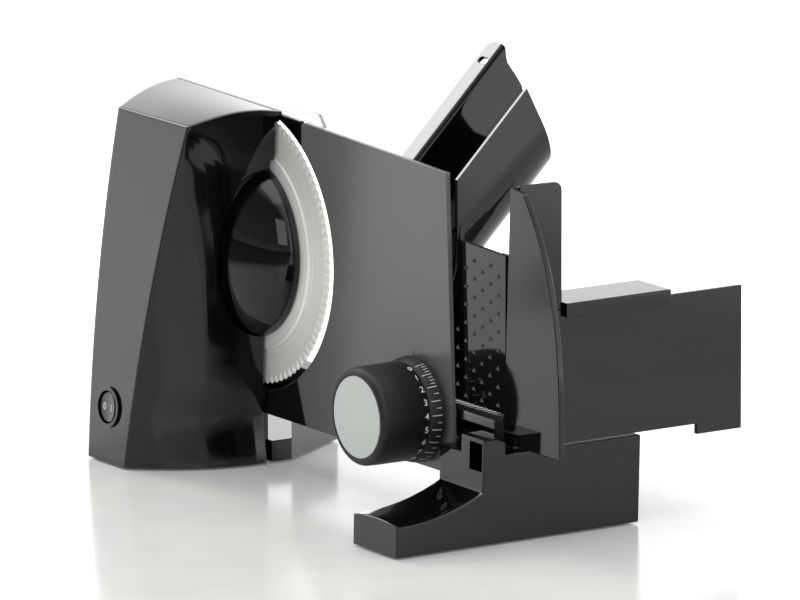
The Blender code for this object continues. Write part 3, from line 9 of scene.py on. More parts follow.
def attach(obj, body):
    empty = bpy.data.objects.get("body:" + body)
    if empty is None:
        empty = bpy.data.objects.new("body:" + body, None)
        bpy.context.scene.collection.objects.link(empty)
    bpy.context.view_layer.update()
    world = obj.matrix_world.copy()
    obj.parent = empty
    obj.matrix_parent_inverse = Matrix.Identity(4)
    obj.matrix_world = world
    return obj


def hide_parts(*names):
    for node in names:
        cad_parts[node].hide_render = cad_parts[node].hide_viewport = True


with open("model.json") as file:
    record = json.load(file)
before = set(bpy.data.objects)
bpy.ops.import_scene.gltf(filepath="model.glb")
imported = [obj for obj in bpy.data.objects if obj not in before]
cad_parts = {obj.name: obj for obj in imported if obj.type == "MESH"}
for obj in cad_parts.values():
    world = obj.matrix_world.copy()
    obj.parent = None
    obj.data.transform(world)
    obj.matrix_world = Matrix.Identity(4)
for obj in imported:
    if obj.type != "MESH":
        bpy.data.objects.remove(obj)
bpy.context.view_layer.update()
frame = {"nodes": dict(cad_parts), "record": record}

nodes = frame["nodes"]
slots = {entry["node"]: entry["material_slot"] for entry in frame["record"]["subparts"]}
bodies = frame["record"]["behaviour"]["bodies"]
body_of_node = {node: body for body, names in bodies.items() for node in names}

# Sizes are in metres, in the frame of the solids: the origin is on the table under the
# blade's axis, +X along the carriage's slide, +Y to the food side and +Z up.


# Camera

CAMERA_PLACE = Vector((5.338147, -3.440840, 1.422191))
CAMERA_LOOK = Vector((-0.81554, 0.54144, -0.20430))
CAMERA_ROLL = math.radians(-0.076)
CAMERA_LENS = 495.5
CAMERA_FILM = 36.0


def set_camera():
    """A long lens far away, as the photograph's almost parallel lines show."""
    data = bpy.data.cameras.new("camera")
    data.lens = CAMERA_LENS
    data.sensor_width = CAMERA_FILM
    data.clip_start = 0.5
    data.clip_end = 60.0
    camera = bpy.data.objects.new("camera", data)
    bpy.context.scene.collection.objects.link(camera)
    camera.location = CAMERA_PLACE
    camera.rotation_mode = "QUATERNION"
    roll = Quaternion((0.0, 0.0, 1.0), CAMERA_ROLL)
    camera.rotation_quaternion = CAMERA_LOOK.to_track_quat("-Z", "Y") @ roll
    bpy.context.scene.camera = camera
    bpy.context.scene.view_settings.view_transform = "Standard"


# Node trees

NOISE = "ShaderNodeTexNoise"
MAPPING = "ShaderNodeMapping"
SPLIT = "ShaderNodeSeparateXYZ"
RAMP = "ShaderNodeValToRGB"
RANGE = "ShaderNodeMapRange"
MATH = "ShaderNodeMath"
VECTOR_MATH = "ShaderNodeVectorMath"
BUMP = "ShaderNodeBump"


def linear(code):
    """An sRGB hex colour as linear light."""
    values = []
    for start in (0, 2, 4):
        part = int(code[start:start + 2], 16) / 255
        values.append(part / 12.92 if part <= 0.04045 else ((part + 0.055) / 1.055) ** 2.4)
    return (*values, 1.0)


def cells(size):
    """The scale that gives a pattern cells of this size in millimetres."""
    return 1000.0 / size


def feed(tree, node, inputs):
    """Set inputs, each to a value, to a socket, or to the first output of a node."""
    for key, value in inputs.items():
        source = value.outputs[0] if isinstance(value, bpy.types.Node) else value
        if isinstance(source, bpy.types.NodeSocket):
            tree.links.new(source, node.inputs[key])
        else:
            node.inputs[key].default_value = source


def add(tree, kind, inputs=None, stops=(), **settings):
    """Add one node with its settings, its inputs and, for a colour ramp, its stops."""
    node = tree.nodes.new(kind)
    for name, value in settings.items():
        setattr(node, name, value)
    feed(tree, node, inputs or {})
    if stops:
        elements = node.color_ramp.elements
        while len(elements) < len(stops):
            elements.new(0.5)
        for element, (place, colour) in zip(elements, stops):
            element.position = place
            element.color = colour if isinstance(colour, tuple) else (colour, colour, colour, 1.0)
    return node


def new_finish(name):
    """A new material, its tree, its shader, and the Object coordinates for its patterns."""
    material = bpy.data.materials.new(name)
    material.use_nodes = True
    tree = material.node_tree
    place = add(tree, "ShaderNodeTexCoord").outputs["Object"]
    return material, tree, tree.nodes["Principled BSDF"], place


# Table, tent and lamps

TABLE_REACH = 14.0
TENT_LEVEL = 1.0
TENT_IN_GLOSS = 1.85
BEHIND = (-0.75, 0.90, 0.0)
BESIDE = (0.743, -0.669, 0.0)
TENT_FRONT = (0.35, -0.94, 0.0)
LAMPS = (
    # name, place, aim, width, height, watts
    ("lamp_top", (0.1, 0.2, 2.2), (0.1, 0.0, 0.0), 2.4, 2.4, 20.0),
    ("lamp_left", (-1.64, -0.40, 1.39), (0.15, 0.05, 0.2), 0.7, 0.7, 13.0),
    ("window", (1.36, -0.70, 0.75), (0.049, -0.012, 0.147), 0.80, 0.85, 3.9),
)


def white_table():
    """Lacquered white table top: faint clouds and a soft mirror under the machine.

    To the eye it fades into the white tent behind. In gloss it glows on the left and far
    behind, and is dark in front, where the photograph's room was.
    """
    material, tree, shader, place = new_finish("lacquered_table")
    split = add(tree, SPLIT, {"Vector": place})
    path = add(tree, "ShaderNodeLightPath")
    x, y, glossy = split.outputs["X"], split.outputs["Y"], path.outputs["Is Glossy Ray"]
    behind = add(tree, VECTOR_MATH, {0: place, 1: BEHIND}, operation="DOT_PRODUCT")
    reach = add(tree, VECTOR_MATH, {0: place}, operation="LENGTH").outputs["Value"]
    beside = add(tree, VECTOR_MATH, {0: place, 1: BESIDE}, operation="DOT_PRODUCT")
    spread = add(tree, MATH, {0: reach, 1: 0.05}, operation="MAXIMUM")
    turn = add(tree, MATH, {0: beside.outputs["Value"], 1: spread}, operation="DIVIDE")
    fades = {}
    for name, value, start, end, first, last in (
        ("to_tent", behind.outputs["Value"], 0.0, 0.65, 0.06, 1.0),
        ("left", x, 0.25, -0.10, 0.0, 1.0),
        ("left_turn", turn, 0.05, -0.17, 0.18, 0.64),
        ("far_back", y, 0.45, 0.65, 0.0, 0.8),
        ("front_turn", turn, 0.0, 0.14, 0.0, 1.0),
        ("away", reach, 0.40, 0.60, 0.0, 1.0),
        ("ahead", y, -0.05, -0.25, 0.0, 1.0),
    ):
        ends = {"From Min": start, "From Max": end, "To Min": first, "To Max": last}
        fades[name] = add(tree, RANGE, {"Value": value, **ends}, interpolation_type="SMOOTHSTEP")
    near = add(tree, MATH, {0: fades["left"], 1: fades["left_turn"]}, operation="MULTIPLY")
    bright = add(tree, MATH, {0: near, 1: fades["far_back"]}, operation="MAXIMUM")
    in_gloss = add(tree, MATH, {0: bright, 1: glossy}, operation="MULTIPLY")
    rays = {0: path.outputs["Is Camera Ray"], 1: path.outputs["Is Transmission Ray"]}
    seen = add(tree, MATH, rays, operation="MAXIMUM")
    glow = add(tree, MATH, {0: fades["to_tent"], 1: seen, 2: in_gloss}, operation="MULTIPLY_ADD")
    cloud_inputs = {"Vector": place, "Scale": cells(111), "Detail": 4.0, "Roughness": 0.55}
    cloud = add(tree, NOISE, cloud_inputs)
    shades = [(0.35, linear("dcddd9")), (0.65, linear("e6e6e2"))]
    feed(tree, shader, {
        "Base Color": add(tree, RAMP, {"Fac": cloud}, shades),
        "Roughness": 0.16,
        "Specular IOR Level": 0.35,
        "Emission Color": (1.0, 1.0, 1.0, 1.0),
        "Emission Strength": glow,
    })
    dark = glossy
    for name in ("front_turn", "away", "ahead"):
        dark = add(tree, MATH, {0: dark, 1: fades[name]}, operation="MULTIPLY")
    room = add(tree, "ShaderNodeBsdfDiffuse", {"Color": linear("626262")})
    mixed = add(tree, "ShaderNodeMixShader", {"Fac": dark, 1: shader, 2: room})
    feed(tree, tree.nodes["Material Output"], {"Surface": mixed})
    return material


def set_table():
    """Table top far larger than the view."""
    shape = bmesh.new()
    bmesh.ops.create_grid(shape, x_segments=1, y_segments=1, size=TABLE_REACH)
    mesh = bpy.data.meshes.new("table_top")
    shape.to_mesh(mesh)
    shape.free()
    table = bpy.data.objects.new("table_top", mesh)
    bpy.context.scene.collection.objects.link(table)
    mesh.materials.append(white_table())


def set_tent():
    """White tent round the table. In gloss its front opens on a darker room."""
    world = bpy.data.worlds.new("light_tent")
    bpy.context.scene.world = world
    world.use_nodes = True
    tree = world.node_tree
    way = add(tree, "ShaderNodeTexCoord").outputs["Generated"]
    height = add(tree, SPLIT, {"Vector": way}).outputs["Z"]
    path = add(tree, "ShaderNodeLightPath")
    front = add(tree, VECTOR_MATH, {0: way, 1: TENT_FRONT}, operation="DOT_PRODUCT")
    shade = 0.0
    for value, start, end, first, last in (
        (front.outputs["Value"], 0.30, 0.52, 1.0, 0.15),
        (height, 0.75, 0.95, 0.0, 1.0),
        (height, 0.20, 0.03, 0.0, 0.24),
    ):
        ends = {"From Min": start, "From Max": end, "To Min": first, "To Max": last}
        fade = add(tree, RANGE, {"Value": value, **ends}, interpolation_type="SMOOTHSTEP")
        shade = add(tree, MATH, {0: shade, 1: fade}, operation="MAXIMUM")
    in_gloss = add(tree, MATH, {0: shade, 1: TENT_IN_GLOSS}, operation="MULTIPLY")
    choice = {"Factor": path.outputs["Is Glossy Ray"], 2: TENT_LEVEL, 3: in_gloss}
    levels = [(0.0, 1.0), (0.25, 1.0), (0.55, 0.66), (1.0, 0.78)]
    feed(tree, tree.nodes["Background"], {
        "Color": add(tree, RAMP, {"Fac": height}, levels),
        "Strength": add(tree, "ShaderNodeMix", choice),
    })


def set_lamps():
    """Soft lamps above and at the left, and a window in front of the machine."""
    for name, place, aim, width, height, watts in LAMPS:
        data = bpy.data.lights.new(name, "AREA")
        data.shape = "RECTANGLE"
        data.size = width
        data.size_y = height
        data.energy = watts
        lamp = bpy.data.objects.new(name, data)
        bpy.context.scene.collection.objects.link(lamp)
        lamp.location = place
        lamp.visible_camera = False
        way = Vector(aim) - Vector(place)
        lamp.rotation_euler = way.to_track_quat("-Z", "Y").to_euler()


# Finishes


def polished_abs():
    """Black ABS from a polished mould: a dark mirror, faintly rippled, with dust that shows.

    The specks are about half a millimetre across, coarser than real dust, so that they show.
    """
    material, tree, shader, place = new_finish("polished_black_abs")
    peel = add(tree, NOISE, {"Vector": place, "Scale": cells(3.85), "Detail": 2.0})
    smear_inputs = {"Vector": place, "Scale": cells(45.5), "Detail": 5.0, "Roughness": 0.6}
    smear = add(tree, NOISE, smear_inputs)
    dust_inputs = {"Vector": place, "Scale": cells(4.76), "Randomness": 1.0}
    dust = add(tree, "ShaderNodeTexVoronoi", dust_inputs)
    specks = [(0.035, linear("3c3c3c")), (0.06, linear("080809"))]
    feed(tree, shader, {
        "Base Color": add(tree, RAMP, {"Fac": dust}, specks),
        "Roughness": add(tree, RAMP, {"Fac": smear}, [(0.35, 0.04), (0.7, 0.085)]),
        "IOR": 1.48,
        "Normal": add(tree, BUMP, {"Height": peel, "Strength": 0.03, "Distance": 0.0002}),
    })
    return material


def satin_plate_abs():
    """The stop plate's ABS: an even anthracite sheen with faint lines where food has slid.

    The lines are about 1 x 2 mm and 28 mm long, coarser than real ones, so that they show.
    """
    material, tree, shader, place = new_finish("satin_black_abs_plate")
    drag = add(tree, MAPPING, {"Vector": place, "Scale": (3.0, 40.0, 90.0)})
    line_inputs = {"Vector": drag, "Scale": cells(83.3), "Detail": 6.0, "Roughness": 0.7}
    lines = add(tree, NOISE, line_inputs)
    shades = [(0.3, linear("5c5d5a")), (0.75, linear("62635f"))]
    feed(tree, shader, {
        "Base Color": add(tree, RAMP, {"Fac": lines}, shades),
        "Roughness": add(tree, RAMP, {"Fac": lines}, [(0.3, 0.20), (0.75, 0.28)]),
        "IOR": 1.38,
        "Normal": add(tree, BUMP, {"Height": lines, "Strength": 0.02, "Distance": 0.0001}),
    })
    return material


def grained_plastic(name, code, smoothest, roughest, grain, bump):
    """Moulded plastic: a spark-eroded grain that breaks up each highlight, and handled patches.

    The grain is drawn coarser than the real tenth of a millimetre, so that it shows.
    """
    material, tree, shader, place = new_finish(name)
    height = add(tree, NOISE, {"Vector": place, "Scale": cells(grain), "Detail": 3.0})
    patch = add(tree, NOISE, {"Vector": place, "Scale": cells(33.3), "Detail": 4.0})
    feed(tree, shader, {
        "Base Color": linear(code),
        "Roughness": add(tree, RAMP, {"Fac": patch}, [(0.3, smoothest), (0.7, roughest)]),
        "Normal": add(tree, BUMP, {"Height": height, "Strength": bump, "Distance": 0.0002}),
    })
    return material


def ground_steel():
    """Stainless blade steel, ground in circles: fine rings that stretch a highlight to a fan.

    The rings are 0.4 mm apart, coarser than real grinding marks, so that they show.
    """
    material, tree, shader, place = new_finish("ground_stainless_steel")
    centred = add(tree, MAPPING, {"Vector": place, "Location": (0.0, 0.0, -BLADE_AXIS)})
    flat = add(tree, VECTOR_MATH, {0: centred, 1: (1.0, 0.0, 1.0)}, operation="MULTIPLY")
    reach = add(tree, VECTOR_MATH, {0: flat}, operation="LENGTH").outputs["Value"]
    ring_inputs = {"W": reach, "Scale": cells(0.385), "Detail": 3.0}
    band_inputs = {"W": reach, "Scale": cells(2.38), "Detail": 2.0}
    rings = add(tree, NOISE, ring_inputs, noise_dimensions="1D")
    bands = add(tree, NOISE, band_inputs, noise_dimensions="1D")
    shades = [(0.3, linear("eeeeea")), (0.7, linear("f9f9f5"))]
    feed(tree, shader, {
        "Base Color": add(tree, RAMP, {"Fac": bands}, shades),
        "Roughness": add(tree, RAMP, {"Fac": rings}, [(0.3, 0.36), (0.7, 0.50)]),
        "Metallic": 0.42,
        "Normal": add(tree, BUMP, {"Height": rings, "Strength": 0.10, "Distance": 0.0001}),
    })
    return material


def bare_metal(name, code, roughness, grit):
    """A machine part's metal: faint lines along X, drawn coarser than real so that they show."""
    material, tree, shader, place = new_finish(name)
    drawn = add(tree, MAPPING, {"Vector": place, "Scale": (0.04, 1.0, 1.0)})
    lines = add(tree, NOISE, {"Vector": drawn, "Scale": cells(grit), "Detail": 4.0})
    levels = [(0.3, roughness - 0.06), (0.7, roughness + 0.08)]
    feed(tree, shader, {
        "Base Color": linear(code),
        "Roughness": add(tree, RAMP, {"Fac": lines}, levels),
        "Metallic": 1.0,
        "Normal": add(tree, BUMP, {"Height": lines, "Strength": 0.08, "Distance": 0.0001}),
    })
    return material


def clear_polycarbonate():
    """Clear polycarbonate: pale grey against the light, with a faint haze from handling."""
    material, tree, shader, place = new_finish("clear_polycarbonate")
    haze = add(tree, NOISE, {"Vector": place, "Scale": cells(16.7), "Detail": 3.0})
    feed(tree, shader, {
        "Base Color": linear("d6dadc"),
        "Roughness": add(tree, RAMP, {"Fac": haze}, [(0.3, 0.05), (0.7, 0.14)]),
        "IOR": 1.58,
        "Transmission Weight": 0.70,
    })
    return material


def white_print():
    """Pad-printed white ink: dead flat, a little thin where the pad lifted."""
    material, tree, shader, place = new_finish("white_pad_print")
    wear = add(tree, NOISE, {"Vector": place, "Scale": cells(1.11), "Detail": 3.0})
    shades = [(0.35, linear("c4c5c3")), (0.6, linear("e6e7e5"))]
    feed(tree, shader, {
        "Base Color": add(tree, RAMP, {"Fac": wear}, shades),
        "Roughness": 0.5,
    })
    return material


def make_finishes():
    return {
        "gloss_black_plastic": polished_abs(),
        "plate": satin_plate_abs(),
        # ABS from a lightly blasted mould: broad, soft highlights on black.
        "satin_black_plastic": grained_plastic("satin_black_abs", "1b1b1c", 0.26, 0.38, 1.11, 0.10),
        # Soft-touch plastic: hardly any shine, so the knob reads as a dark round mass.
        "matte_black_plastic": grained_plastic(
            "soft_touch_black", "131313", 0.50, 0.62, 0.714, 0.20),
        # Silver lacquer on a moulded cap: a pale, even, faintly green grey.
        "silver_grey_plastic": grained_plastic(
            "silver_lacquered_cap", "bfc4c0", 0.34, 0.46, 0.625, 0.10),
        "clear_plastic": clear_polycarbonate(),
        # Natural nylon: waxy cream without a sharp highlight.
        "gear_nylon": grained_plastic("natural_nylon", "ddd8c6", 0.40, 0.55, 1.43, 0.10),
        "polished_steel": ground_steel(),
        # Steel rail made dark to paint the shade in the gap above the foot's boss: a dark metal
        # line with a tight gleam.
        "rail_steel": bare_metal("steel_rail_dark_as_painted_shade", "2b2b2c", 0.30, 1.11),
        # Bright drawn steel: a warm, clean mirror along the rod.
        "bright_steel": bare_metal("drawn_bright_steel", "cfccc6", 0.26, 1.11),
        # Black acetal: a dense black with a soft slip sheen.
        "black_acetal": grained_plastic("black_acetal", "18181a", 0.34, 0.44, 1.25, 0.08),
        # Aluminium bridge made near black to paint the shade in the gap above the foot's boss, with
        # a metal's sheen.
        "painted_shade_aluminium": bare_metal("aluminium_dark_as_painted_shade", "242526", 0.36, 1.43),
        # Zinc plate: bluish grey, a little cloudy.
        "zinc_plated_steel": bare_metal("zinc_plated_steel", "b4b7b9", 0.38, 2.0),
        # Sintered bronze: dull gold brown, wet with oil.
        "sintered_bronze": bare_metal("sintered_bronze", "a8845a", 0.42, 1.67),
        # Moulded rubber: flat black that swallows light.
        "black_rubber": grained_plastic("moulded_rubber", "161616", 0.72, 0.84, 0.909, 0.35),
        # Lacquered iron: brown grey with a low sheen.
        "lacquered_iron": bare_metal("lacquered_iron", "6b655f", 0.45, 2.5),
        "print": white_print(),
    }


SPECIAL_FINISH = {
    "stop_plate": "plate",
    # The guide rail is made dark to paint the shade in the gap above the foot's boss.
    "guide_rail": "rail_steel",
    # The bridge is made near black to paint the shade in the gap above the foot's boss.
    "bridge": "painted_shade_aluminium",
    "slide_shoe_1": "black_acetal",
    "slide_shoe_2": "black_acetal",
    "cam_pin": "bright_steel",
    "guide_rod_1": "bright_steel",
    "guide_rod_2": "bright_steel",
    "blade_axle": "bright_steel",
    "motor_shaft": "bright_steel",
    "knob_axle": "bright_steel",
}


def finish_of(node):
    """The node's own finish where it has one, or else its slot's."""
    return finishes[SPECIAL_FINISH.get(node, slots[node])]


def dress_nodes():
    """Each carried-over node takes its own finish by the record's slot."""
    for name, node in nodes.items():
        if not node.data.materials:
            node.data.materials.append(finish_of(name))
        for index in range(len(node.data.materials)):
            node.data.materials[index] = finish_of(name)


# Making and placing pieces

SMOOTH_UP_TO = math.radians(50)
CRISP_TURN = math.radians(28)
LEVEL_WITHIN = math.radians(0.5)
MERGE_WITHIN = 1e-6


def as_object(name, shape, material, smooth=SMOOTH_UP_TO):
    """Turn a mesh under construction into an object at the origin."""
    bmesh.ops.recalc_face_normals(shape, faces=shape.faces)
    mesh = bpy.data.meshes.new(name)
    shape.to_mesh(mesh)
    shape.free()
    piece = bpy.data.objects.new(name, mesh)
    bpy.context.scene.collection.objects.link(piece)
    mesh.materials.append(material)
    mesh.shade_smooth()
    mesh.set_sharp_from_angle(angle=smooth)
    return piece


def stands_for(piece, node):
    """Let a finished piece ride as the node that it replaces, and hide that node."""
    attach(piece, body_of_node[node])
    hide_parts(node)
    return piece


def rides_on(piece, body):
    """Let a piece without a node of its own ride on a body."""
    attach(piece, body)
    return piece


def level_normals(piece):
    """Keep broad faces flat to the eye beside their rounded edges."""
    modifier = piece.modifiers.new("level_normals", "WEIGHTED_NORMAL")
    modifier.keep_sharp = True
    return piece


def work_in(target, operation, shapes):
    """Cut shapes from an object, or join them to it, one after the other."""
    for shape in shapes:
        tool = as_object("tool", shape, target.data.materials[0])
        modifier = target.modifiers.new("cut", "BOOLEAN")
        modifier.operation = operation
        modifier.solver = "EXACT"
        modifier.object = tool
        bpy.context.view_layer.update()
        graph = bpy.context.evaluated_depsgraph_get()
        mesh = bpy.data.meshes.new_from_object(target.evaluated_get(graph))
        target.modifiers.clear()
        target.data = mesh
        bpy.data.objects.remove(tool, do_unlink=True)
    return target


def carve(target, *shapes):
    """Cut shapes from an object."""
    return work_in(target, "DIFFERENCE", shapes)


def as_shape(piece):
    """Take an object's mesh back under construction and drop the object."""
    shape = bmesh.new()
    shape.from_mesh(piece.data)
    bpy.data.objects.remove(piece, do_unlink=True)
    return shape


def crisp_edges(shape, turn):
    """Edges where the surface turns more than the given angle."""
    inner = [edge for edge in shape.edges if len(edge.link_faces) == 2]
    return [edge for edge in inner if edge.calc_face_angle(0.0) > turn]


def round_edges(shape, width, segments=2, turn=CRISP_TURN):
    """Give the crisp edges of a shape a round of this width."""
    bmesh.ops.bevel(
        shape,
        geom=crisp_edges(shape, turn),
        offset=width,
        offset_type="OFFSET",
        segments=segments,
        profile=0.5,
        affect="EDGES",
        clamp_overlap=True,
        material=-1,
    )
    return shape


def soften(node, width):
    """A node's own solid, merged, with its crisp edges rounded as a mould leaves them."""
    shape = bmesh.new()
    shape.from_mesh(nodes[node].data)
    bmesh.ops.remove_doubles(shape, verts=shape.verts, dist=MERGE_WITHIN)
    parts = {"verts": shape.verts, "edges": shape.edges}
    bmesh.ops.dissolve_limit(shape, angle_limit=LEVEL_WITHIN, **parts)
    round_edges(shape, width)
    piece = as_object(f"{node}_moulded", shape, finish_of(node))
    return level_normals(stands_for(piece, node))


def flat_plate(outline, axis, start, end):
    """Extrude a closed outline of (u, v) points from one offset to another along an axis."""
    shape = bmesh.new()
    place = {"X": (2, 0, 1), "Y": (0, 2, 1), "Z": (0, 1, 2)}[axis]
    corners = []
    for u, v in outline:
        values = (u, v, start)
        corners.append(shape.verts.new([values[index] for index in place]))
    shape.faces.new(corners)
    raised = bmesh.ops.extrude_face_region(shape, geom=shape.faces[:])
    step = Vector([(0.0, 0.0, end - start)[index] for index in place])
    new_verts = [part for part in raised["geom"] if isinstance(part, bmesh.types.BMVert)]
    bmesh.ops.translate(shape, vec=step, verts=new_verts)
    return shape


def turned(profile, centre, steps, closed=True):
    """Spin a profile of (radius, offset) points round an axis along Y through the centre."""
    shape = bmesh.new()
    middle = Vector(centre)
    chain = [shape.verts.new(middle + Vector((radius, offset, 0.0))) for radius, offset in profile]
    for first, second in zip(chain, chain[1:]):
        shape.edges.new((first, second))
    if closed:
        shape.edges.new((chain[-1], chain[0]))
    bmesh.ops.spin(
        shape,
        geom=shape.verts[:] + shape.edges[:],
        cent=middle,
        axis=(0.0, 1.0, 0.0),
        angle=2 * math.pi,
        steps=steps,
        use_merge=True,
        use_duplicate=False,
    )
    bmesh.ops.remove_doubles(shape, verts=shape.verts, dist=1e-7)
    return shape


def arc(centre, radius, start, end, steps):
    """Points along a round stretch of an outline."""
    points = []
    for step in range(steps + 1):
        angle = start + (end - start) * step / steps
        points.append((centre[0] + radius * math.cos(angle), centre[1] + radius * math.sin(angle)))
    return points


# Motor tower

BLADE_AXIS = 0.1302
BLADE_REACH = 0.0824
TOWER_FOOT = 0.0012
TOWER_HIGH = 0.211
TOWER_FRONT = (-0.078, -0.061)
TOWER_BACK = -0.0003
TOWER_CROWN = 0.0062
CROWN_START = 0.190
CROWN_RIGHT = math.radians(144)
CROWN_LEFT = math.radians(90)
TOWER_SWEEP = 2.2
TOWER_EDGE = 0.0007
LEFT_FRONT = (-0.0610, -0.0627, -0.0520)
LEFT_BACK = (-0.1000, -0.0915, -0.0850)
RIGHT_FRONT = (-0.0210, -0.0045, 0.0244)
RIGHT_BACK = (
    (0.0012, 0.0140),
    (0.0310, 0.0112),
    (0.0470, 0.0150),
    (0.0700, 0.0163),
    (0.1150, 0.0195),
    (0.1600, 0.0240),
    (0.1900, 0.0290),
    (0.2110, 0.0290),
)
TOWER_COLUMNS = 24
TOWER_ROWS = 40
DOME_REACH = 0.0543
DOME_BULGE = 0.030
DOME_BASE = -0.0032
DOME_WALL = 0.0025
DOME_CUT = -0.010
RECESS_ACROSS = 0.0378
RECESS_UP = 0.0539
RECESS_RISE = 0.0022
RECESS_SUNK = 0.0045
HOUSING_WALL = 0.003
SEAT_WALL = 0.008
SLOT_REACH = BLADE_REACH + 0.0013


def bowed(height, low, middle, top):
    """A measure of the tower at one height, from its values below, halfway up and on top."""
    part = height / TOWER_HIGH
    bow = middle - (low + top) / 2
    return low + (top - low) * part + 4 * bow * part * (1 - part)


def right_edge(height):
    """The tower's edge beside the blade, as one smooth curve through its measured levels."""
    levels = RIGHT_BACK
    place = 0
    while place < len(levels) - 2 and height > levels[place + 1][0]:
        place += 1
    low, high = levels[place], levels[place + 1]
    span = high[0] - low[0]
    part = min(max((height - low[0]) / span, 0.0), 1.0)
    before = levels[max(place - 1, 0)]
    after = levels[min(place + 2, len(levels) - 1)]
    slope_low = (high[1] - before[1]) / (high[0] - before[0])
    slope_high = (after[1] - low[1]) / (after[0] - low[0])
    square, cube = part * part, part ** 3
    return (
        (2 * cube - 3 * square + 1) * low[1]
        + (cube - 2 * square + part) * span * slope_low
        + (3 * square - 2 * cube) * high[1]
        + (cube - square) * span * slope_high
    )


def tower_sides(side, height, inset):
    """The tower's right and left points at one height and depth, 0 in front and 1 behind."""
    front = TOWER_FRONT[0] + (TOWER_FRONT[1] - TOWER_FRONT[0]) * height / TOWER_HIGH + inset
    y = front + (TOWER_BACK - front) * side
    rise = max(height - CROWN_START, 0.0) / (TOWER_HIGH - CROWN_START)
    right_rise = rise * (TOWER_CROWN * math.sin(side * CROWN_RIGHT) - inset)
    left_rise = rise * (TOWER_CROWN * math.sin(side * CROWN_LEFT) - inset)
    sweep = 1 - (1 - side) ** TOWER_SWEEP
    bulge = (side + math.sin(side * math.pi / 2)) / 2
    right_front = bowed(height, *RIGHT_FRONT)
    left_front = bowed(height, *LEFT_FRONT)
    x_right = right_front + (right_edge(height) - right_front) * sweep - inset
    x_left = left_front + (bowed(height, *LEFT_BACK) - left_front) * bulge + inset
    return Vector((x_right, y, height + right_rise)), Vector((x_left, y, height + left_rise))


def mapped_grid(shape, columns, rows, place):
    """A grid whose corners are moved by a rule from (0..1, 0..1) to a place in space."""
    made = bmesh.ops.create_grid(shape, x_segments=columns, y_segments=rows, size=0.5)
    for vert in made["verts"]:
        vert.co = place(vert.co.x + 0.5, vert.co.y + 0.5)


def tower_block(inset=0.0, bottom=TOWER_FOOT, back=None):
    """The tower's whole body from four grids: its wall, top, bottom and back."""

    def height_at(part):
        return bottom + (TOWER_HIGH - bottom) * part

    def wall(around, part):
        turn = 3 * around
        height = height_at(part)
        if turn <= 1:
            return tower_sides(1 - turn, height, inset)[0]
        if turn >= 2:
            return tower_sides(turn - 2, height, inset)[1]
        right, left = tower_sides(0.0, height, inset)
        return right.lerp(left, turn - 1)

    def level(height):
        def place(side, across):
            right, left = tower_sides(side, height, inset)
            return right.lerp(left, across)
        return place

    def rear(across, part):
        right, left = tower_sides(1.0, height_at(part), inset)
        return right.lerp(left, across)

    shape = bmesh.new()
    mapped_grid(shape, 3 * TOWER_COLUMNS, TOWER_ROWS, wall)
    mapped_grid(shape, TOWER_COLUMNS, TOWER_COLUMNS, level(TOWER_HIGH))
    mapped_grid(shape, TOWER_COLUMNS, TOWER_COLUMNS, level(bottom))
    mapped_grid(shape, TOWER_COLUMNS, TOWER_ROWS, rear)
    bmesh.ops.remove_doubles(shape, verts=shape.verts, dist=2e-6)
    if back is not None:
        for vert in shape.verts:
            if vert.co.y > TOWER_BACK - 1e-5:
                vert.co.y = back
    bmesh.ops.recalc_face_normals(shape, faces=shape.faces)
    return shape


def egg(reach, bulge, across=96, along=48):
    """Flattened ball round the blade's axis, its equator in the dome's base."""
    shape = bmesh.new()
    bmesh.ops.create_uvsphere(shape, u_segments=across, v_segments=along, radius=1.0)
    turn = Matrix.Rotation(math.pi / 2, 4, "X")
    size = Matrix.Diagonal((reach, bulge, reach, 1.0))
    place = Matrix.Translation((0.0, DOME_BASE, BLADE_AXIS))
    bmesh.ops.transform(shape, matrix=place @ size @ turn, verts=shape.verts)
    return shape


def rod(centre, radius, start, end, steps=96):
    """Round bar along Y."""
    profile = [(0.0, start), (radius, start), (radius, end), (0.0, end)]
    return turned(profile, centre, steps, closed=False)


def recess():
    """Oval cutter that follows the tower's side a little below its surface."""
    outline = []
    steps = 120
    for step in range(steps):
        angle = 2 * math.pi * step / steps
        outline.append((
            DOME_BASE + RECESS_ACROSS * math.cos(angle),
            BLADE_AXIS + RECESS_RISE + RECESS_UP * math.sin(angle),
        ))
    black = finishes["gloss_black_plastic"]
    oval = as_object("recess", flat_plate(outline, "X", 0.0, DOME_REACH), black)
    return as_shape(carve(oval, tower_block(RECESS_SUNK, -HOUSING_WALL, RECESS_ACROSS)))


SWITCH_CENTRE = Vector((-0.0416, -0.07525, 0.0341))
SWITCH_LEAN = math.atan2(TOWER_FRONT[1] - TOWER_FRONT[0], TOWER_HIGH)
SWITCH_HOLE = 0.0109
SEAT_FIT = 0.0003


def lean_with_face(shape):
    """Move a shape drawn upright at the origin on to the leaning switch face."""
    turn = Matrix.Translation(SWITCH_CENTRE) @ Matrix.Rotation(-SWITCH_LEAN, 4, "X")
    bmesh.ops.transform(shape, matrix=turn, verts=shape.verts)
    return shape


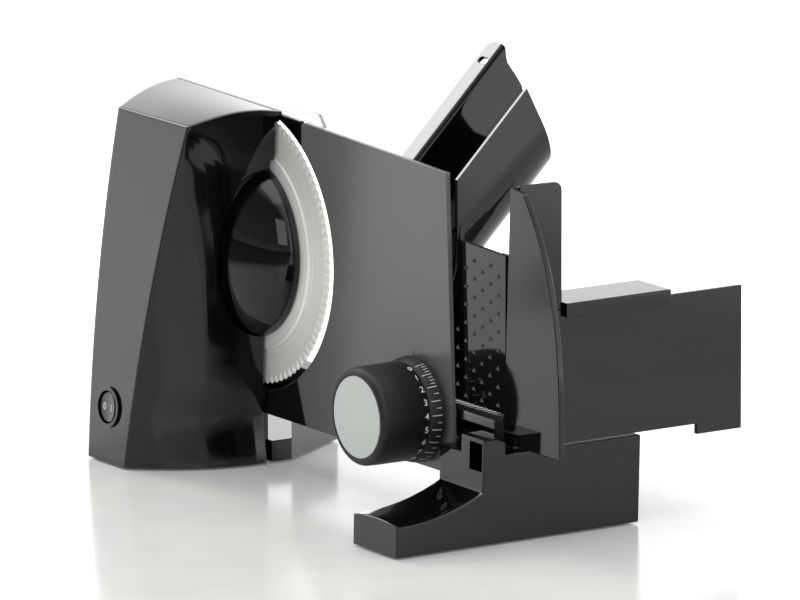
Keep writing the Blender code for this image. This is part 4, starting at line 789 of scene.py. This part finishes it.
def make_tower():
    """Hollow housing with the dome's seat and recess, the blade's slot and the switch hole."""
    black = finishes["gloss_black_plastic"]
    hollow = as_object("hollow", tower_block(HOUSING_WALL, -HOUSING_WALL, 3 * HOUSING_WALL), black)
    around = egg(DOME_REACH + SEAT_WALL, RECESS_ACROSS + SEAT_WALL, 48, 24)
    seat = as_object("seat", around, black)
    box = flat_plate([(DOME_CUT, -0.1), (DOME_CUT, 0.1), (-0.1, 0.1), (-0.1, -0.1)], "Z", 0.0, 0.3)
    carve(hollow, as_shape(carve(seat, box)))
    tower = as_object("motor_tower", round_edges(tower_block(), TOWER_EDGE, 3), black)
    switch_hole = lean_with_face(rod((0.0, 0.0, 0.0), SWITCH_HOLE, -0.010, 0.010))
    carve(
        tower,
        as_shape(hollow),
        egg(DOME_REACH + SEAT_FIT, DOME_BULGE + SEAT_FIT),
        recess(),
        rod((0.0, 0.0, BLADE_AXIS), SLOT_REACH, DOME_BASE - 0.0008, HOUSING_WALL),
        switch_hole,
    )
    tower.data.shade_smooth()
    tower.data.set_sharp_from_angle(angle=math.radians(31))
    return stands_for(tower, "motor_housing")


def make_dome():
    """Smooth moulded dome over the blade's hub."""
    shape = egg(DOME_REACH, DOME_BULGE, 128, 64)
    for place, normal in (((0, DOME_BASE, 0), (0, 1, 0)), ((DOME_CUT, 0, 0), (-1, 0, 0))):
        whole = shape.verts[:] + shape.edges[:] + shape.faces[:]
        bmesh.ops.bisect_plane(shape, geom=whole, plane_co=place, plane_no=normal, clear_outer=True)
    dome = as_object("hub_cover", shape, finishes["gloss_black_plastic"])
    wall = dome.modifiers.new("wall", "SOLIDIFY")
    wall.thickness = DOME_WALL
    wall.offset = -1.0
    return stands_for(dome, "hub_dome")


# Blade

BLADE_THICK = 0.0012
STEP_REACH = 0.0612
STEP_SUNK = 0.0012
SCALLOPS = 97
SCALLOP_DEEP = 0.0010
GRIND_WIDE = 0.0060
GRIND_NARROWEST = 0.0021
GRIND_SWING = 0.0030
EDGE_THICK = 0.0003
BLADE_BORE = 0.0043


def make_blade():
    """Stepped disc whose edge is ground in scallops from the front."""
    back = -BLADE_THICK - STEP_SUNK
    front = [(BLADE_BORE, back), (STEP_REACH - 0.0004, back), (STEP_REACH, back + 0.0001)]
    front += [(STEP_REACH + 0.0010, -BLADE_THICK - 0.0001), (STEP_REACH + 0.0014, -BLADE_THICK)]
    ground = 12
    grind_start = BLADE_REACH - GRIND_WIDE
    for step in range(ground + 1):
        front.append((grind_start + (BLADE_REACH - grind_start) * step / ground, -BLADE_THICK))
    rear = [(BLADE_REACH, 0.0), (BLADE_REACH - 0.0020, 0.0), (STEP_REACH + 0.0009, 0.0)]
    rear += [(STEP_REACH - 0.0003, -STEP_SUNK), (BLADE_BORE, -STEP_SUNK)]
    shape = turned(front + rear, (0.0, 0.0, BLADE_AXIS), SCALLOPS * 8)
    for vert in shape.verts:
        across = math.hypot(vert.co.x, vert.co.z - BLADE_AXIS)
        if across < grind_start - 1e-5:
            continue
        angle = math.atan2(vert.co.z - BLADE_AXIS, vert.co.x)
        notch = (0.5 + 0.5 * math.cos(SCALLOPS * angle)) ** 0.8
        shrink = SCALLOP_DEEP * notch * (across - grind_start) / (BLADE_REACH - grind_start)
        width = GRIND_NARROWEST + GRIND_SWING * notch
        into = min(max((across - (BLADE_REACH - width)) / width, 0.0), 1.0)
        if vert.co.y < -EDGE_THICK:
            vert.co.y = -BLADE_THICK + (BLADE_THICK - EDGE_THICK) * into
        scale = (across - shrink) / across
        vert.co.x *= scale
        vert.co.z = BLADE_AXIS + (vert.co.z - BLADE_AXIS) * scale
    blade = as_object("ground_blade", shape, finishes["polished_steel"], math.radians(24))
    return stands_for(blade, "blade")


# Fixed wall and stop plate

PLATE_THICK = 0.003
PLATE_TOP_LEFT = (0.0512, 0.2119)
PLATE_TOP_RIGHT = (0.2032, 0.2064)
PLATE_LOW_RIGHT = (0.2108, 0.0305)
PLATE_LOW_LEFT = (0.0556, 0.0305)
OPENING_MIDDLE = (0.0, 0.1290)
OPENING_REACH = 0.0850
SEAM_LEAN = math.tan(math.radians(19))
SEAM = 0.0006
WALL_RIGHT = 0.0102
WALL_LOW = 0.0308
SLAB_CLEAR = 0.0143
INLET = (-0.0800, 0.0300)
INLET_HOLE = 0.0063
PLATE_CORNER = 0.002
KNOB_PLACE = (0.1756, 0.0636)
PIN_BELOW = 0.0180
PIN_WAY = 0.0033


def plate_top(x):
    """Height of the stop plate's top edge, which falls a little to the right."""
    slope = (PLATE_TOP_RIGHT[1] - PLATE_TOP_LEFT[1]) / (PLATE_TOP_RIGHT[0] - PLATE_TOP_LEFT[0])
    return PLATE_TOP_LEFT[1] + slope * (x - PLATE_TOP_LEFT[0])


def seam_on_circle(offset):
    """Where the slanted seam below the blade meets the round opening."""
    foot = PLATE_LOW_LEFT[0] + offset + SEAM_LEAN * PLATE_LOW_LEFT[1]
    square = SEAM_LEAN * SEAM_LEAN + 1
    half = SEAM_LEAN * foot + OPENING_MIDDLE[1]
    rest = foot * foot + OPENING_MIDDLE[1] ** 2 - OPENING_REACH ** 2
    height = (half - math.sqrt(half * half - square * rest)) / square
    return foot - SEAM_LEAN * height, height


def opening_angle(point):
    """Direction of a point from the middle of the round opening."""
    return math.atan2(point[1] - OPENING_MIDDLE[1], point[0])


def edge_on_circle(x):
    """The round opening's upper point at one place across."""
    return x, OPENING_MIDDLE[1] + math.sqrt(OPENING_REACH ** 2 - x * x)


def make_fixed_wall():
    """Fixed wall that frames the blade on the tower's side, with the hole of the cord inlet."""
    low = seam_on_circle(-SEAM)
    high = edge_on_circle(PLATE_TOP_LEFT[0] - SEAM)
    outline = [(WALL_RIGHT, SLAB_CLEAR)]
    steps = 12
    for step in range(steps + 1):
        height = SLAB_CLEAR + (TOWER_HIGH - SLAB_CLEAR) * step / steps
        outline.append((bowed(height, *LEFT_BACK), height))
    outline[-1] = (outline[-1][0], TOWER_HIGH + TOWER_CROWN)
    top_right = RIGHT_BACK[-1][1]
    outline.append((top_right, TOWER_HIGH + TOWER_CROWN * math.sin(CROWN_RIGHT)))
    outline.append((top_right, plate_top(top_right)))
    outline.append((high[0], plate_top(high[0])))
    round_to = opening_angle(low) + 2 * math.pi
    outline += arc(OPENING_MIDDLE, OPENING_REACH, opening_angle(high), round_to, 160)
    outline += [(PLATE_LOW_LEFT[0] - SEAM, WALL_LOW), (WALL_RIGHT, WALL_LOW)]
    shape = round_edges(flat_plate(outline, "Y", 0.0, PLATE_THICK), 0.0003, 2)
    wall = as_object("fixed_wall", shape, finishes["gloss_black_plastic"])
    carve(wall, rod((INLET[0], 0.0, INLET[1]), INLET_HOLE, -0.01, 0.01, 48))
    return level_normals(stands_for(wall, "back_wall"))


def make_stop_plate():
    """Stop plate with its cut-out round the blade and the way of the cam pin."""
    low = seam_on_circle(0.0)
    high = edge_on_circle(PLATE_TOP_LEFT[0])
    beside = PLATE_TOP_LEFT[0] + PLATE_CORNER
    outline = [PLATE_LOW_LEFT, PLATE_LOW_RIGHT, PLATE_TOP_RIGHT, (beside, plate_top(beside))]
    outline.append((PLATE_TOP_LEFT[0], PLATE_TOP_LEFT[1] - PLATE_CORNER))
    outline += arc(OPENING_MIDDLE, OPENING_REACH, opening_angle(high), opening_angle(low), 120)
    shape = round_edges(flat_plate(outline, "Y", 0.0, PLATE_THICK), 0.0004, 2)
    plate = as_object("gauge_plate_face", shape, finishes["plate"])
    carve(plate, rod((KNOB_PLACE[0], 0.0, KNOB_PLACE[1] - PIN_BELOW), PIN_WAY, -0.01, 0.01, 48))
    return level_normals(stands_for(plate, "stop_plate"))


# Thickness knob

KNOB_REAR = -0.0036
KNOB_FRONT = -0.0435
KNOB_REACH = 0.0290
DIAL_REACH = 0.0312
DIAL_END = -0.0121
CAP_REACH = 0.0240
CAP_THICK = 0.0018
KNOB_NOSE = 0.0036
KNOB_HOLLOW = 0.0235
KNOB_WEB = -0.0210
KNOB_BORE = 0.0060
KNOB_SEAT = 0.0275
DIAL_INSIDE = 0.0278
DIAL_WAIST = -0.0075
BREAK = 0.0003
ROUND_STEPS = 160
INK = 0.00006
INK_SPREAD = 0.00007
DIAL_ZERO = 22.0
DIAL_STEP = 16.0
DIAL_LAST = 8
NUMERAL_HIGH = 0.0038
NUMERAL_PLACE = -0.0139
# Each stroke's length and width, and its place along the axis
LONG_STROKE = (0.0056, 0.00042, -0.0077)
SHORT_STROKE = (0.0028, 0.00036, -0.0063)
# A numeral's height as a share of the font's size
CAPITAL_SHARE = 0.73
INDEX_SIZE = (0.0006, 2 * INK, 0.0036)
INDEX_PLACE = (0.1695, 0.0, 0.0951)


def knob_centre():
    return (KNOB_PLACE[0], 0.0, KNOB_PLACE[1])


def make_knob():
    """Soft-touch body with a rounded nose. Its inside follows the hollow of the solid."""
    seam = DIAL_END - BREAK
    profile = [
        (KNOB_HOLLOW, KNOB_REAR - BREAK),
        (KNOB_SEAT, KNOB_REAR - BREAK),
        (KNOB_SEAT, seam),
        (KNOB_REACH - 0.0002, seam),
        (KNOB_REACH, seam - 0.0002),
        (KNOB_REACH - 0.0002, KNOB_FRONT + 0.0090),
    ]
    for step in range(9):
        angle = math.pi / 2 * step / 8
        profile.append((
            KNOB_REACH - 0.0004 - KNOB_NOSE * (1 - math.cos(angle)),
            KNOB_FRONT + KNOB_NOSE * (1 - math.sin(angle)),
        ))
    profile += [
        (CAP_REACH + 0.0005, KNOB_FRONT),
        (CAP_REACH + BREAK, KNOB_FRONT + 0.0002),
        (CAP_REACH + BREAK, KNOB_FRONT + CAP_THICK),
        (KNOB_BORE, KNOB_FRONT + CAP_THICK),
        (KNOB_BORE, KNOB_WEB),
        (KNOB_HOLLOW, KNOB_WEB),
    ]
    shape = turned(profile, knob_centre(), ROUND_STEPS)
    return stands_for(as_object("knob_body", shape, finishes["matte_black_plastic"]), "knob")


def make_dial():
    """Collar that flares from the knob to the stop plate."""
    profile = [
        (DIAL_INSIDE, KNOB_REAR),
        (DIAL_REACH - BREAK, KNOB_REAR),
        (DIAL_REACH, KNOB_REAR - BREAK),
        (DIAL_REACH - 0.0006, DIAL_WAIST),
        (KNOB_REACH + BREAK, DIAL_END + 0.0002),
        (KNOB_REACH + 0.0001, DIAL_END),
        (DIAL_INSIDE, DIAL_END),
    ]
    shape = turned(profile, knob_centre(), ROUND_STEPS)
    return stands_for(as_object("dial_collar", shape, finishes["matte_black_plastic"]), "dial_ring")


def make_cap():
    """Light disc set in the knob's nose."""
    profile = [
        (0.0, KNOB_FRONT + CAP_THICK - BREAK),
        (CAP_REACH, KNOB_FRONT + CAP_THICK - BREAK),
        (CAP_REACH, KNOB_FRONT + BREAK),
        (CAP_REACH - BREAK, KNOB_FRONT),
        (0.0, KNOB_FRONT),
    ]
    shape = turned(profile, knob_centre(), ROUND_STEPS, closed=False)
    cap = as_object("cap_disc", shape, finishes["silver_grey_plastic"])
    return level_normals(stands_for(cap, "knob_cap"))


def dial_reach(y):
    """Radius of the dial or the knob at one depth."""
    if y > DIAL_WAIST:
        part = (y - DIAL_WAIST) / (KNOB_REAR - DIAL_WAIST)
        return DIAL_REACH - 0.0006 * (1 - part)
    if y > DIAL_END:
        part = (y - DIAL_END) / (DIAL_WAIST - DIAL_END)
        return KNOB_REACH + BREAK + (DIAL_REACH - 0.0009 - KNOB_REACH) * part
    return KNOB_REACH


def wrap_on_dial(shape, degrees, middle):
    """Bend flat marks round the dial: their X runs along the axis and their Y round it."""
    for vert in shape.verts:
        y = middle + vert.co.x
        reach = dial_reach(y) + (INK if vert.co.z > INK / 2 else -INK)
        turn = math.radians(degrees) - vert.co.y / reach
        x = KNOB_PLACE[0] + reach * math.sin(turn)
        vert.co = Vector((x, y, KNOB_PLACE[1] + reach * math.cos(turn)))
    return shape


def figure(text, height):
    """A flat numeral as a thin solid, centred on the origin."""
    curve = bpy.data.curves.new("figure", "FONT")
    curve.body = text
    curve.size = height / CAPITAL_SHARE
    curve.align_x = "CENTER"
    curve.align_y = "CENTER"
    curve.extrude = INK
    curve.offset = INK_SPREAD
    curve.resolution_u = 4
    stand = bpy.data.objects.new("figure", curve)
    bpy.context.scene.collection.objects.link(stand)
    bpy.context.view_layer.update()
    graph = bpy.context.evaluated_depsgraph_get()
    mesh = bpy.data.meshes.new_from_object(stand.evaluated_get(graph))
    bpy.data.objects.remove(stand, do_unlink=True)
    shape = bmesh.new()
    shape.from_mesh(mesh)
    bmesh.ops.remove_doubles(shape, verts=shape.verts, dist=1e-7)
    across = [vert.co.x for vert in shape.verts]
    up = [vert.co.y for vert in shape.verts]
    middle = Vector((-(min(across) + max(across)) / 2, -(min(up) + max(up)) / 2, 0.0))
    bmesh.ops.translate(shape, vec=middle, verts=shape.verts)
    return shape


def stroke(length, width):
    """A thin printed line along X, in short steps so that it can bend."""
    shape = bmesh.new()
    bmesh.ops.create_cube(shape, size=1.0)
    bmesh.ops.scale(shape, vec=(length, width, 2 * INK), verts=shape.verts)
    for step in range(1, 8):
        whole = shape.verts[:] + shape.edges[:] + shape.faces[:]
        place = (length * (step / 8 - 0.5), 0.0, 0.0)
        bmesh.ops.bisect_plane(shape, geom=whole, plane_co=place, plane_no=(1.0, 0.0, 0.0))
    return shape


def join(shapes):
    """Several meshes under construction as one."""
    whole = bmesh.new()
    for shape in shapes:
        part = bpy.data.meshes.new("part")
        shape.to_mesh(part)
        shape.free()
        whole.from_mesh(part)
        bpy.data.meshes.remove(part)
    return whole


def make_dial_print():
    """White scale from 0 to 8, with a short stroke at each quarter up to 2 and each half beyond."""
    marks = []
    for number in range(DIAL_LAST + 1):
        degrees = DIAL_ZERO + DIAL_STEP * number
        marks.append(wrap_on_dial(figure(str(number), NUMERAL_HIGH), degrees, NUMERAL_PLACE))
        marks.append(wrap_on_dial(stroke(*LONG_STROKE[:2]), degrees, LONG_STROKE[2]))
        parts = 4 if number < 2 else 2
        if number < DIAL_LAST:
            for part in range(1, parts):
                between = degrees + DIAL_STEP * part / parts
                marks.append(wrap_on_dial(stroke(*SHORT_STROKE[:2]), between, SHORT_STROKE[2]))
    scale = as_object("dial_scale", join(marks), finishes["print"])
    return rides_on(scale, "thickness_knob")


def make_index_mark():
    """Dark stroke sunk in the stop plate that the dial is read against."""
    shape = bmesh.new()
    bmesh.ops.create_cube(shape, size=1.0)
    bmesh.ops.scale(shape, vec=INDEX_SIZE, verts=shape.verts)
    bmesh.ops.translate(shape, vec=INDEX_PLACE, verts=shape.verts)
    mark = as_object("index_mark", shape, finishes["matte_black_plastic"])
    return rides_on(mark, "gauge_plate")


# Switch

SWITCH_THROW = math.radians(11)
ROCKER_PROUD = 0.0003
SIGN_HIGH = 0.0044
SIGN_ACROSS = 0.0042


def make_switch_marks():
    """Generic 0 and I on the two halves of the rocker. The half with the I is up."""
    marks = []
    for text, x, raised in (("0", -SIGN_ACROSS, 0.0), ("I", SIGN_ACROSS, math.tan(SWITCH_THROW))):
        shape = figure(text, SIGN_HIGH)
        for vert in shape.verts:
            across = vert.co.x + x
            out = -ROCKER_PROUD - max(across, 0.0) * raised
            vert.co = Vector((across, out - vert.co.z, vert.co.y))
        marks.append(lean_with_face(shape))
    print_on_rocker = as_object("switch_marks", join(marks), finishes["print"])
    return rides_on(print_on_rocker, "switch_rocker")


# Carriage

GUARD_FRONT = 0.0038
GUARD_THICK = 0.0030
GUARD_LEFT = 0.2560
GUARD_LEFT_TOP = 0.2628
GUARD_BOTTOM = 0.0573
GUARD_TOP = 0.2070
GUARD_RIGHT = 0.3134
GUARD_RIGHT_TOP = 0.2768
GUARD_SWEEP = 3.1
GUARD_TIP = 0.0016
GUARD_STEPS = 60
BEAD_WIDE = 0.0030


def guard_edge(part):
    """The curved operator's edge of the thumb guard, from its foot to its tip."""
    x = GUARD_RIGHT - (GUARD_RIGHT - GUARD_RIGHT_TOP) * part ** GUARD_SWEEP
    return x, GUARD_BOTTOM + (GUARD_TOP - GUARD_TIP - GUARD_BOTTOM) * part


def make_thumb_guard():
    """Upright fin with a curved operator's edge."""
    curve = [guard_edge(step / GUARD_STEPS) for step in range(GUARD_STEPS + 1)]
    outline = [(GUARD_LEFT, GUARD_BOTTOM), *curve, (GUARD_LEFT_TOP, GUARD_TOP)]
    shape = round_edges(flat_plate(outline, "Y", GUARD_FRONT, GUARD_FRONT + GUARD_THICK), 0.0006, 3)
    guard = as_object("thumb_fin", shape, finishes["gloss_black_plastic"])
    return level_normals(stands_for(guard, "thumb_guard"))


def make_guard_bead():
    """Raised bead along the curved edge of the thumb guard."""
    outer = []
    inner = []
    for step in range(GUARD_STEPS + 1):
        part = step / GUARD_STEPS
        x, z = guard_edge(part)
        above, below = guard_edge(min(part + 0.01, 1.0)), guard_edge(max(part - 0.01, 0.0))
        ahead = Vector(above) - Vector(below)
        inward = Vector((-ahead.y, ahead.x)).normalized()
        outer.append((x, z))
        inner.append((x + BEAD_WIDE * inward.x, z + BEAD_WIDE * inward.y))
    shape = flat_plate(outer + inner[::-1], "Y", GUARD_FRONT - 0.0006, GUARD_FRONT + 0.0012)
    round_edges(shape, 0.0005, 3)
    bead = as_object("thumb_fin_bead", shape, finishes["gloss_black_plastic"])
    return level_normals(rides_on(bead, "carriage"))


# Foot

FOOT_LEFT = 0.2185
FOOT_RIGHT = 0.2635
FOOT_TOE = -0.0745
FOOT_RISER = -0.0160
FOOT_BACK = 0.0930
FOOT_TOP = 0.0530
FOOT_DRAFT = 0.0020
TOE_HEIGHT = 0.0192
TOE_RISE = 0.0320
TOE_CROWN = 0.0020
TOE_SWEEP = 2.2
BOSS = ((0.2400, FOOT_RIGHT), (-0.0160, -0.0010), (0.0200, 0.0630))
POCKET = ((0.2000, 0.2622), (0.0077, 0.0303), (0.0337, 0.0638))
WINDOW = ((0.2490, 0.2619), (-0.0200, 0.0080), (0.0440, 0.0605))


def block(limits):
    """A box between the limits of its X, Y and Z."""
    (left, right), (front, back), (bottom, top) = limits
    corners = [(left, front), (right, front), (right, back), (left, back)]
    return flat_plate(corners, "Z", bottom, top)


def make_foot():
    """Right foot with a crowned toe that sweeps up to the riser, and the boss with its window."""
    steps = 24
    outline = [(FOOT_TOE, TOWER_FOOT), (FOOT_BACK, TOWER_FOOT)]
    outline += [(FOOT_BACK, FOOT_TOP), (FOOT_RISER, FOOT_TOP)]
    for step in range(steps + 1):
        part = 1 - step / steps
        outline.append((
            FOOT_TOE + (FOOT_RISER - FOOT_TOE) * part,
            TOE_HEIGHT + (TOE_RISE - TOE_HEIGHT) * part ** TOE_SWEEP,
        ))
    shape = flat_plate(outline, "X", FOOT_LEFT, FOOT_RIGHT)
    width = FOOT_RIGHT - FOOT_LEFT
    across = [
        edge for edge in shape.edges
        if abs(edge.verts[0].co.x - edge.verts[1].co.x) > width / 2
    ]
    bmesh.ops.subdivide_edges(shape, edges=across, cuts=11, use_grid_fill=True)
    near = 1e-5
    for vert in shape.verts:
        in_height = TOE_HEIGHT - near < vert.co.z < TOE_RISE - near
        if in_height and vert.co.y < FOOT_RISER - near:
            middle = 2 * (vert.co.x - FOOT_LEFT) / width - 1
            fade = (FOOT_RISER - vert.co.y) / (FOOT_RISER - FOOT_TOE)
            vert.co.z += TOE_CROWN * (1 - middle * middle) * fade
    round_edges(shape, 0.0008, 3, math.radians(35))
    black = finishes["gloss_black_plastic"]
    foot = as_object("foot_casting", shape, black)
    boss = as_object("boss", round_edges(block(BOSS), 0.0007), black)
    work_in(foot, "UNION", [as_shape(boss)])
    carve(foot, block(POCKET), block(WINDOW))
    for vert in foot.data.vertices:
        vert.co.x += FOOT_DRAFT * vert.co.z / FOOT_TOP
    foot.data.shade_smooth()
    foot.data.set_sharp_from_angle(angle=math.radians(40))
    return level_normals(stands_for(foot, "foot_block"))


# Chute

CHUTE_MIDDLE = 0.1828
CHUTE_RIM = 0.1978
CHUTE_HALF = 0.0252
CHUTE_WALL = 0.0025
CHUTE_SIDE = 0.0200
CHUTE_BELLY = 0.0347
CHUTE_MOUTH = 0.0046
CHUTE_NEAR_END = 0.0748
CHUTE_UNDERCUT = 0.32
CHUTE_FLANGE = 0.0130
CHUTE_EDGE = -CHUTE_HALF - CHUTE_FLANGE
CHUTE_ROLL = 0.0034
CHUTE_BLEND = 0.60
CHUTE_ROWS = 36
TONGUE_CORNER = 0.0060
SLOPE = math.sqrt(0.5)
FAR_END = (
    (0.0, 0.0985), (0.0019, 0.0978), (0.0063, 0.0940), (0.0096, 0.0922), (0.0143, 0.0915),
    (0.0213, 0.0904), (0.0264, 0.0890), (0.0330, 0.0838), (0.0384, 0.0775), (0.0550, 0.0580),
)
HOLE_REACH = 0.0850
HOLE_ACROSS = CHUTE_EDGE + 0.0072
HOLE_HALF = 0.0022
LEDGE_WIDE = 0.0042
LEDGE_SUNK = 0.0004
LEDGE_DEPTH = (0.0030, 0.0046)
PRESS_FRONT = 0.0063
PRESS_THICK = 0.0028
WEB_CLEAR = 0.0004
WEB_THIN = 0.0008


def chute_place(across, depth, reach):
    """A point of the chute: how far across, how deep under the rim, and how far up the slope."""
    return Vector((
        CHUTE_MIDDLE + across,
        (reach + depth) * SLOPE,
        CHUTE_RIM + (reach - depth) * SLOPE,
    ))


def chute_section():
    """Inner skin: the flange, its rolled corner, the far wall, the belly and the near wall."""
    half = CHUTE_HALF - CHUTE_WALL
    belly = CHUTE_BELLY - CHUTE_WALL
    roll = CHUTE_ROLL
    flat = -half - roll - CHUTE_EDGE
    section = [(CHUTE_EDGE + flat * step / 10, 0.0) for step in range(10)]
    section += arc((-half - roll, roll), roll, -math.pi / 2, 0.0, 6)
    section += [(-half, roll + (CHUTE_SIDE - roll) * step / 8) for step in range(1, 8)]
    for step in range(49):
        angle = math.pi * (1 - step / 48)
        section.append((half * math.cos(angle), CHUTE_SIDE + belly * math.sin(angle)))
    section += [(half, CHUTE_SIDE * (1 - step / 8)) for step in range(1, 9)]
    return section


def chute_end(across, depth):
    """Reach of the upper end: a round tongue, a long far wall and an undercut near wall."""
    far = FAR_END[-1][1]
    for low, high in zip(FAR_END, FAR_END[1:]):
        if low[0] <= depth <= high[0]:
            far = low[1] + (high[1] - low[1]) * (depth - low[0]) / (high[0] - low[0])
            break
    short = TONGUE_CORNER - (across - CHUTE_EDGE)
    if short > 0:
        far -= TONGUE_CORNER - math.sqrt(TONGUE_CORNER ** 2 - short ** 2)
    near = CHUTE_NEAR_END - CHUTE_UNDERCUT * depth
    part = min(max(-across / CHUTE_HALF / CHUTE_BLEND, 0.0), 1.0)
    part = part * part * (3 - 2 * part)
    return near + (far - near) * part


def on_slope(shape):
    """Turn a shape drawn flat into the chute's own directions."""
    for vert in shape.verts:
        vert.co = chute_place(vert.co.x, vert.co.z, vert.co.y)
    bmesh.ops.recalc_face_normals(shape, faces=shape.faces)
    return shape


def make_chute():
    """Trough with a rolled flange, a hang hole and rounded rims."""
    section = chute_section()
    last = len(section) - 1

    def place(across, along):
        u, depth = section[round(across * last)]
        start = (CHUTE_MOUTH - depth * SLOPE) / SLOPE
        return chute_place(u, depth, start + (chute_end(u, depth) - start) * along)

    shape = bmesh.new()
    mapped_grid(shape, last, CHUTE_ROWS, place)
    chute = as_object("food_chute", shape, finishes["gloss_black_plastic"])
    faces_up = chute.data.polygons[0].normal.z > 0
    wall = chute.modifiers.new("wall", "SOLIDIFY")
    wall.thickness = CHUTE_WALL
    wall.offset = -1.0 if faces_up else 1.0
    quarter = math.pi / 2
    left, right = HOLE_ACROSS - HOLE_HALF, HOLE_ACROSS + HOLE_HALF
    outline = arc((left, HOLE_REACH), HOLE_HALF, quarter, 3 * quarter, 12)
    outline += arc((right, HOLE_REACH), HOLE_HALF, -quarter, quarter, 12)
    carve(chute, on_slope(flat_plate(outline, "Z", -0.01, 0.01)))
    chute.data.shade_smooth()
    chute.data.set_sharp_from_angle(angle=math.radians(40))
    edge = chute.modifiers.new("edge", "BEVEL")
    edge.width = 0.0010
    edge.segments = 3
    edge.limit_method = "ANGLE"
    edge.angle_limit = math.radians(50)
    return stands_for(chute, "chute")


def make_chute_ledge():
    """Narrow ledge inside the near rim."""
    half = CHUTE_HALF - CHUTE_WALL
    inner, outer = half - LEDGE_WIDE, half + LEDGE_SUNK
    start, end = CHUTE_MOUTH / SLOPE + 0.001, CHUTE_NEAR_END - 0.001
    outline = [(inner, start), (outer, start), (outer, end), (inner, end)]
    shape = on_slope(round_edges(flat_plate(outline, "Z", *LEDGE_DEPTH), 0.0004))
    ledge = as_object("chute_ledge", shape, finishes["gloss_black_plastic"])
    return level_normals(rides_on(ledge, "holder"))


def make_mouth_web():
    """Web of the press plate that follows the round under the chute's mouth."""
    steps = 40
    drop = 2 * SLOPE
    half = CHUTE_HALF + WEB_CLEAR
    top = CHUTE_RIM + PRESS_FRONT
    outline = []
    for step in range(steps + 1):
        angle = math.pi * step / steps
        depth = CHUTE_SIDE + (CHUTE_BELLY + WEB_CLEAR) * math.sin(angle)
        outline.append((CHUTE_MIDDLE + half * math.cos(angle), top - depth * drop - WEB_CLEAR))
    bottom = top - (CHUTE_SIDE + CHUTE_BELLY) * drop - WEB_THIN
    outline += [(CHUTE_MIDDLE - half, bottom), (CHUTE_MIDDLE + half, bottom)]
    shape = flat_plate(outline, "Y", PRESS_FRONT, PRESS_FRONT + PRESS_THICK)
    web = as_object("mouth_web", shape, finishes["gloss_black_plastic"])
    return rides_on(web, "holder")


# Pieces that keep the solid's form, with the radius that the mould leaves on their edges

MOULDED = {
    "base_cover": 0.0004,
    "base_leg": 0.0007,
    "switch_bezel": 0.0003,
    "rocker": 0.0003,
    "blade_lock": 0.0003,
    "carriage_wall": 0.0005,
    "finger_panel": 0.0005,
    "holder_saddle": 0.0006,
    "holder_arm": 0.0005,
    "finger_guard": 0.0004,
    "bridge": 0.0004,
    "guide_rail": 0.0004,
    "cord_inlet": 0.0003,
    "plate_bracket": 0.0004,
    "gear_bracket": 0.0004,
    "slide_shoe_1": 0.0003,
    "slide_shoe_2": 0.0003,
}


def build():
    make_tower()
    make_dome()
    make_blade()
    make_fixed_wall()
    make_stop_plate()
    make_knob()
    make_dial()
    make_cap()
    make_dial_print()
    make_index_mark()
    make_switch_marks()
    make_thumb_guard()
    make_guard_bead()
    make_foot()
    make_chute()
    make_chute_ledge()
    make_mouth_web()
    for node, width in MOULDED.items():
        soften(node, width)


set_camera()
set_table()
set_tent()
set_lamps()
finishes = make_finishes()
dress_nodes()
build()
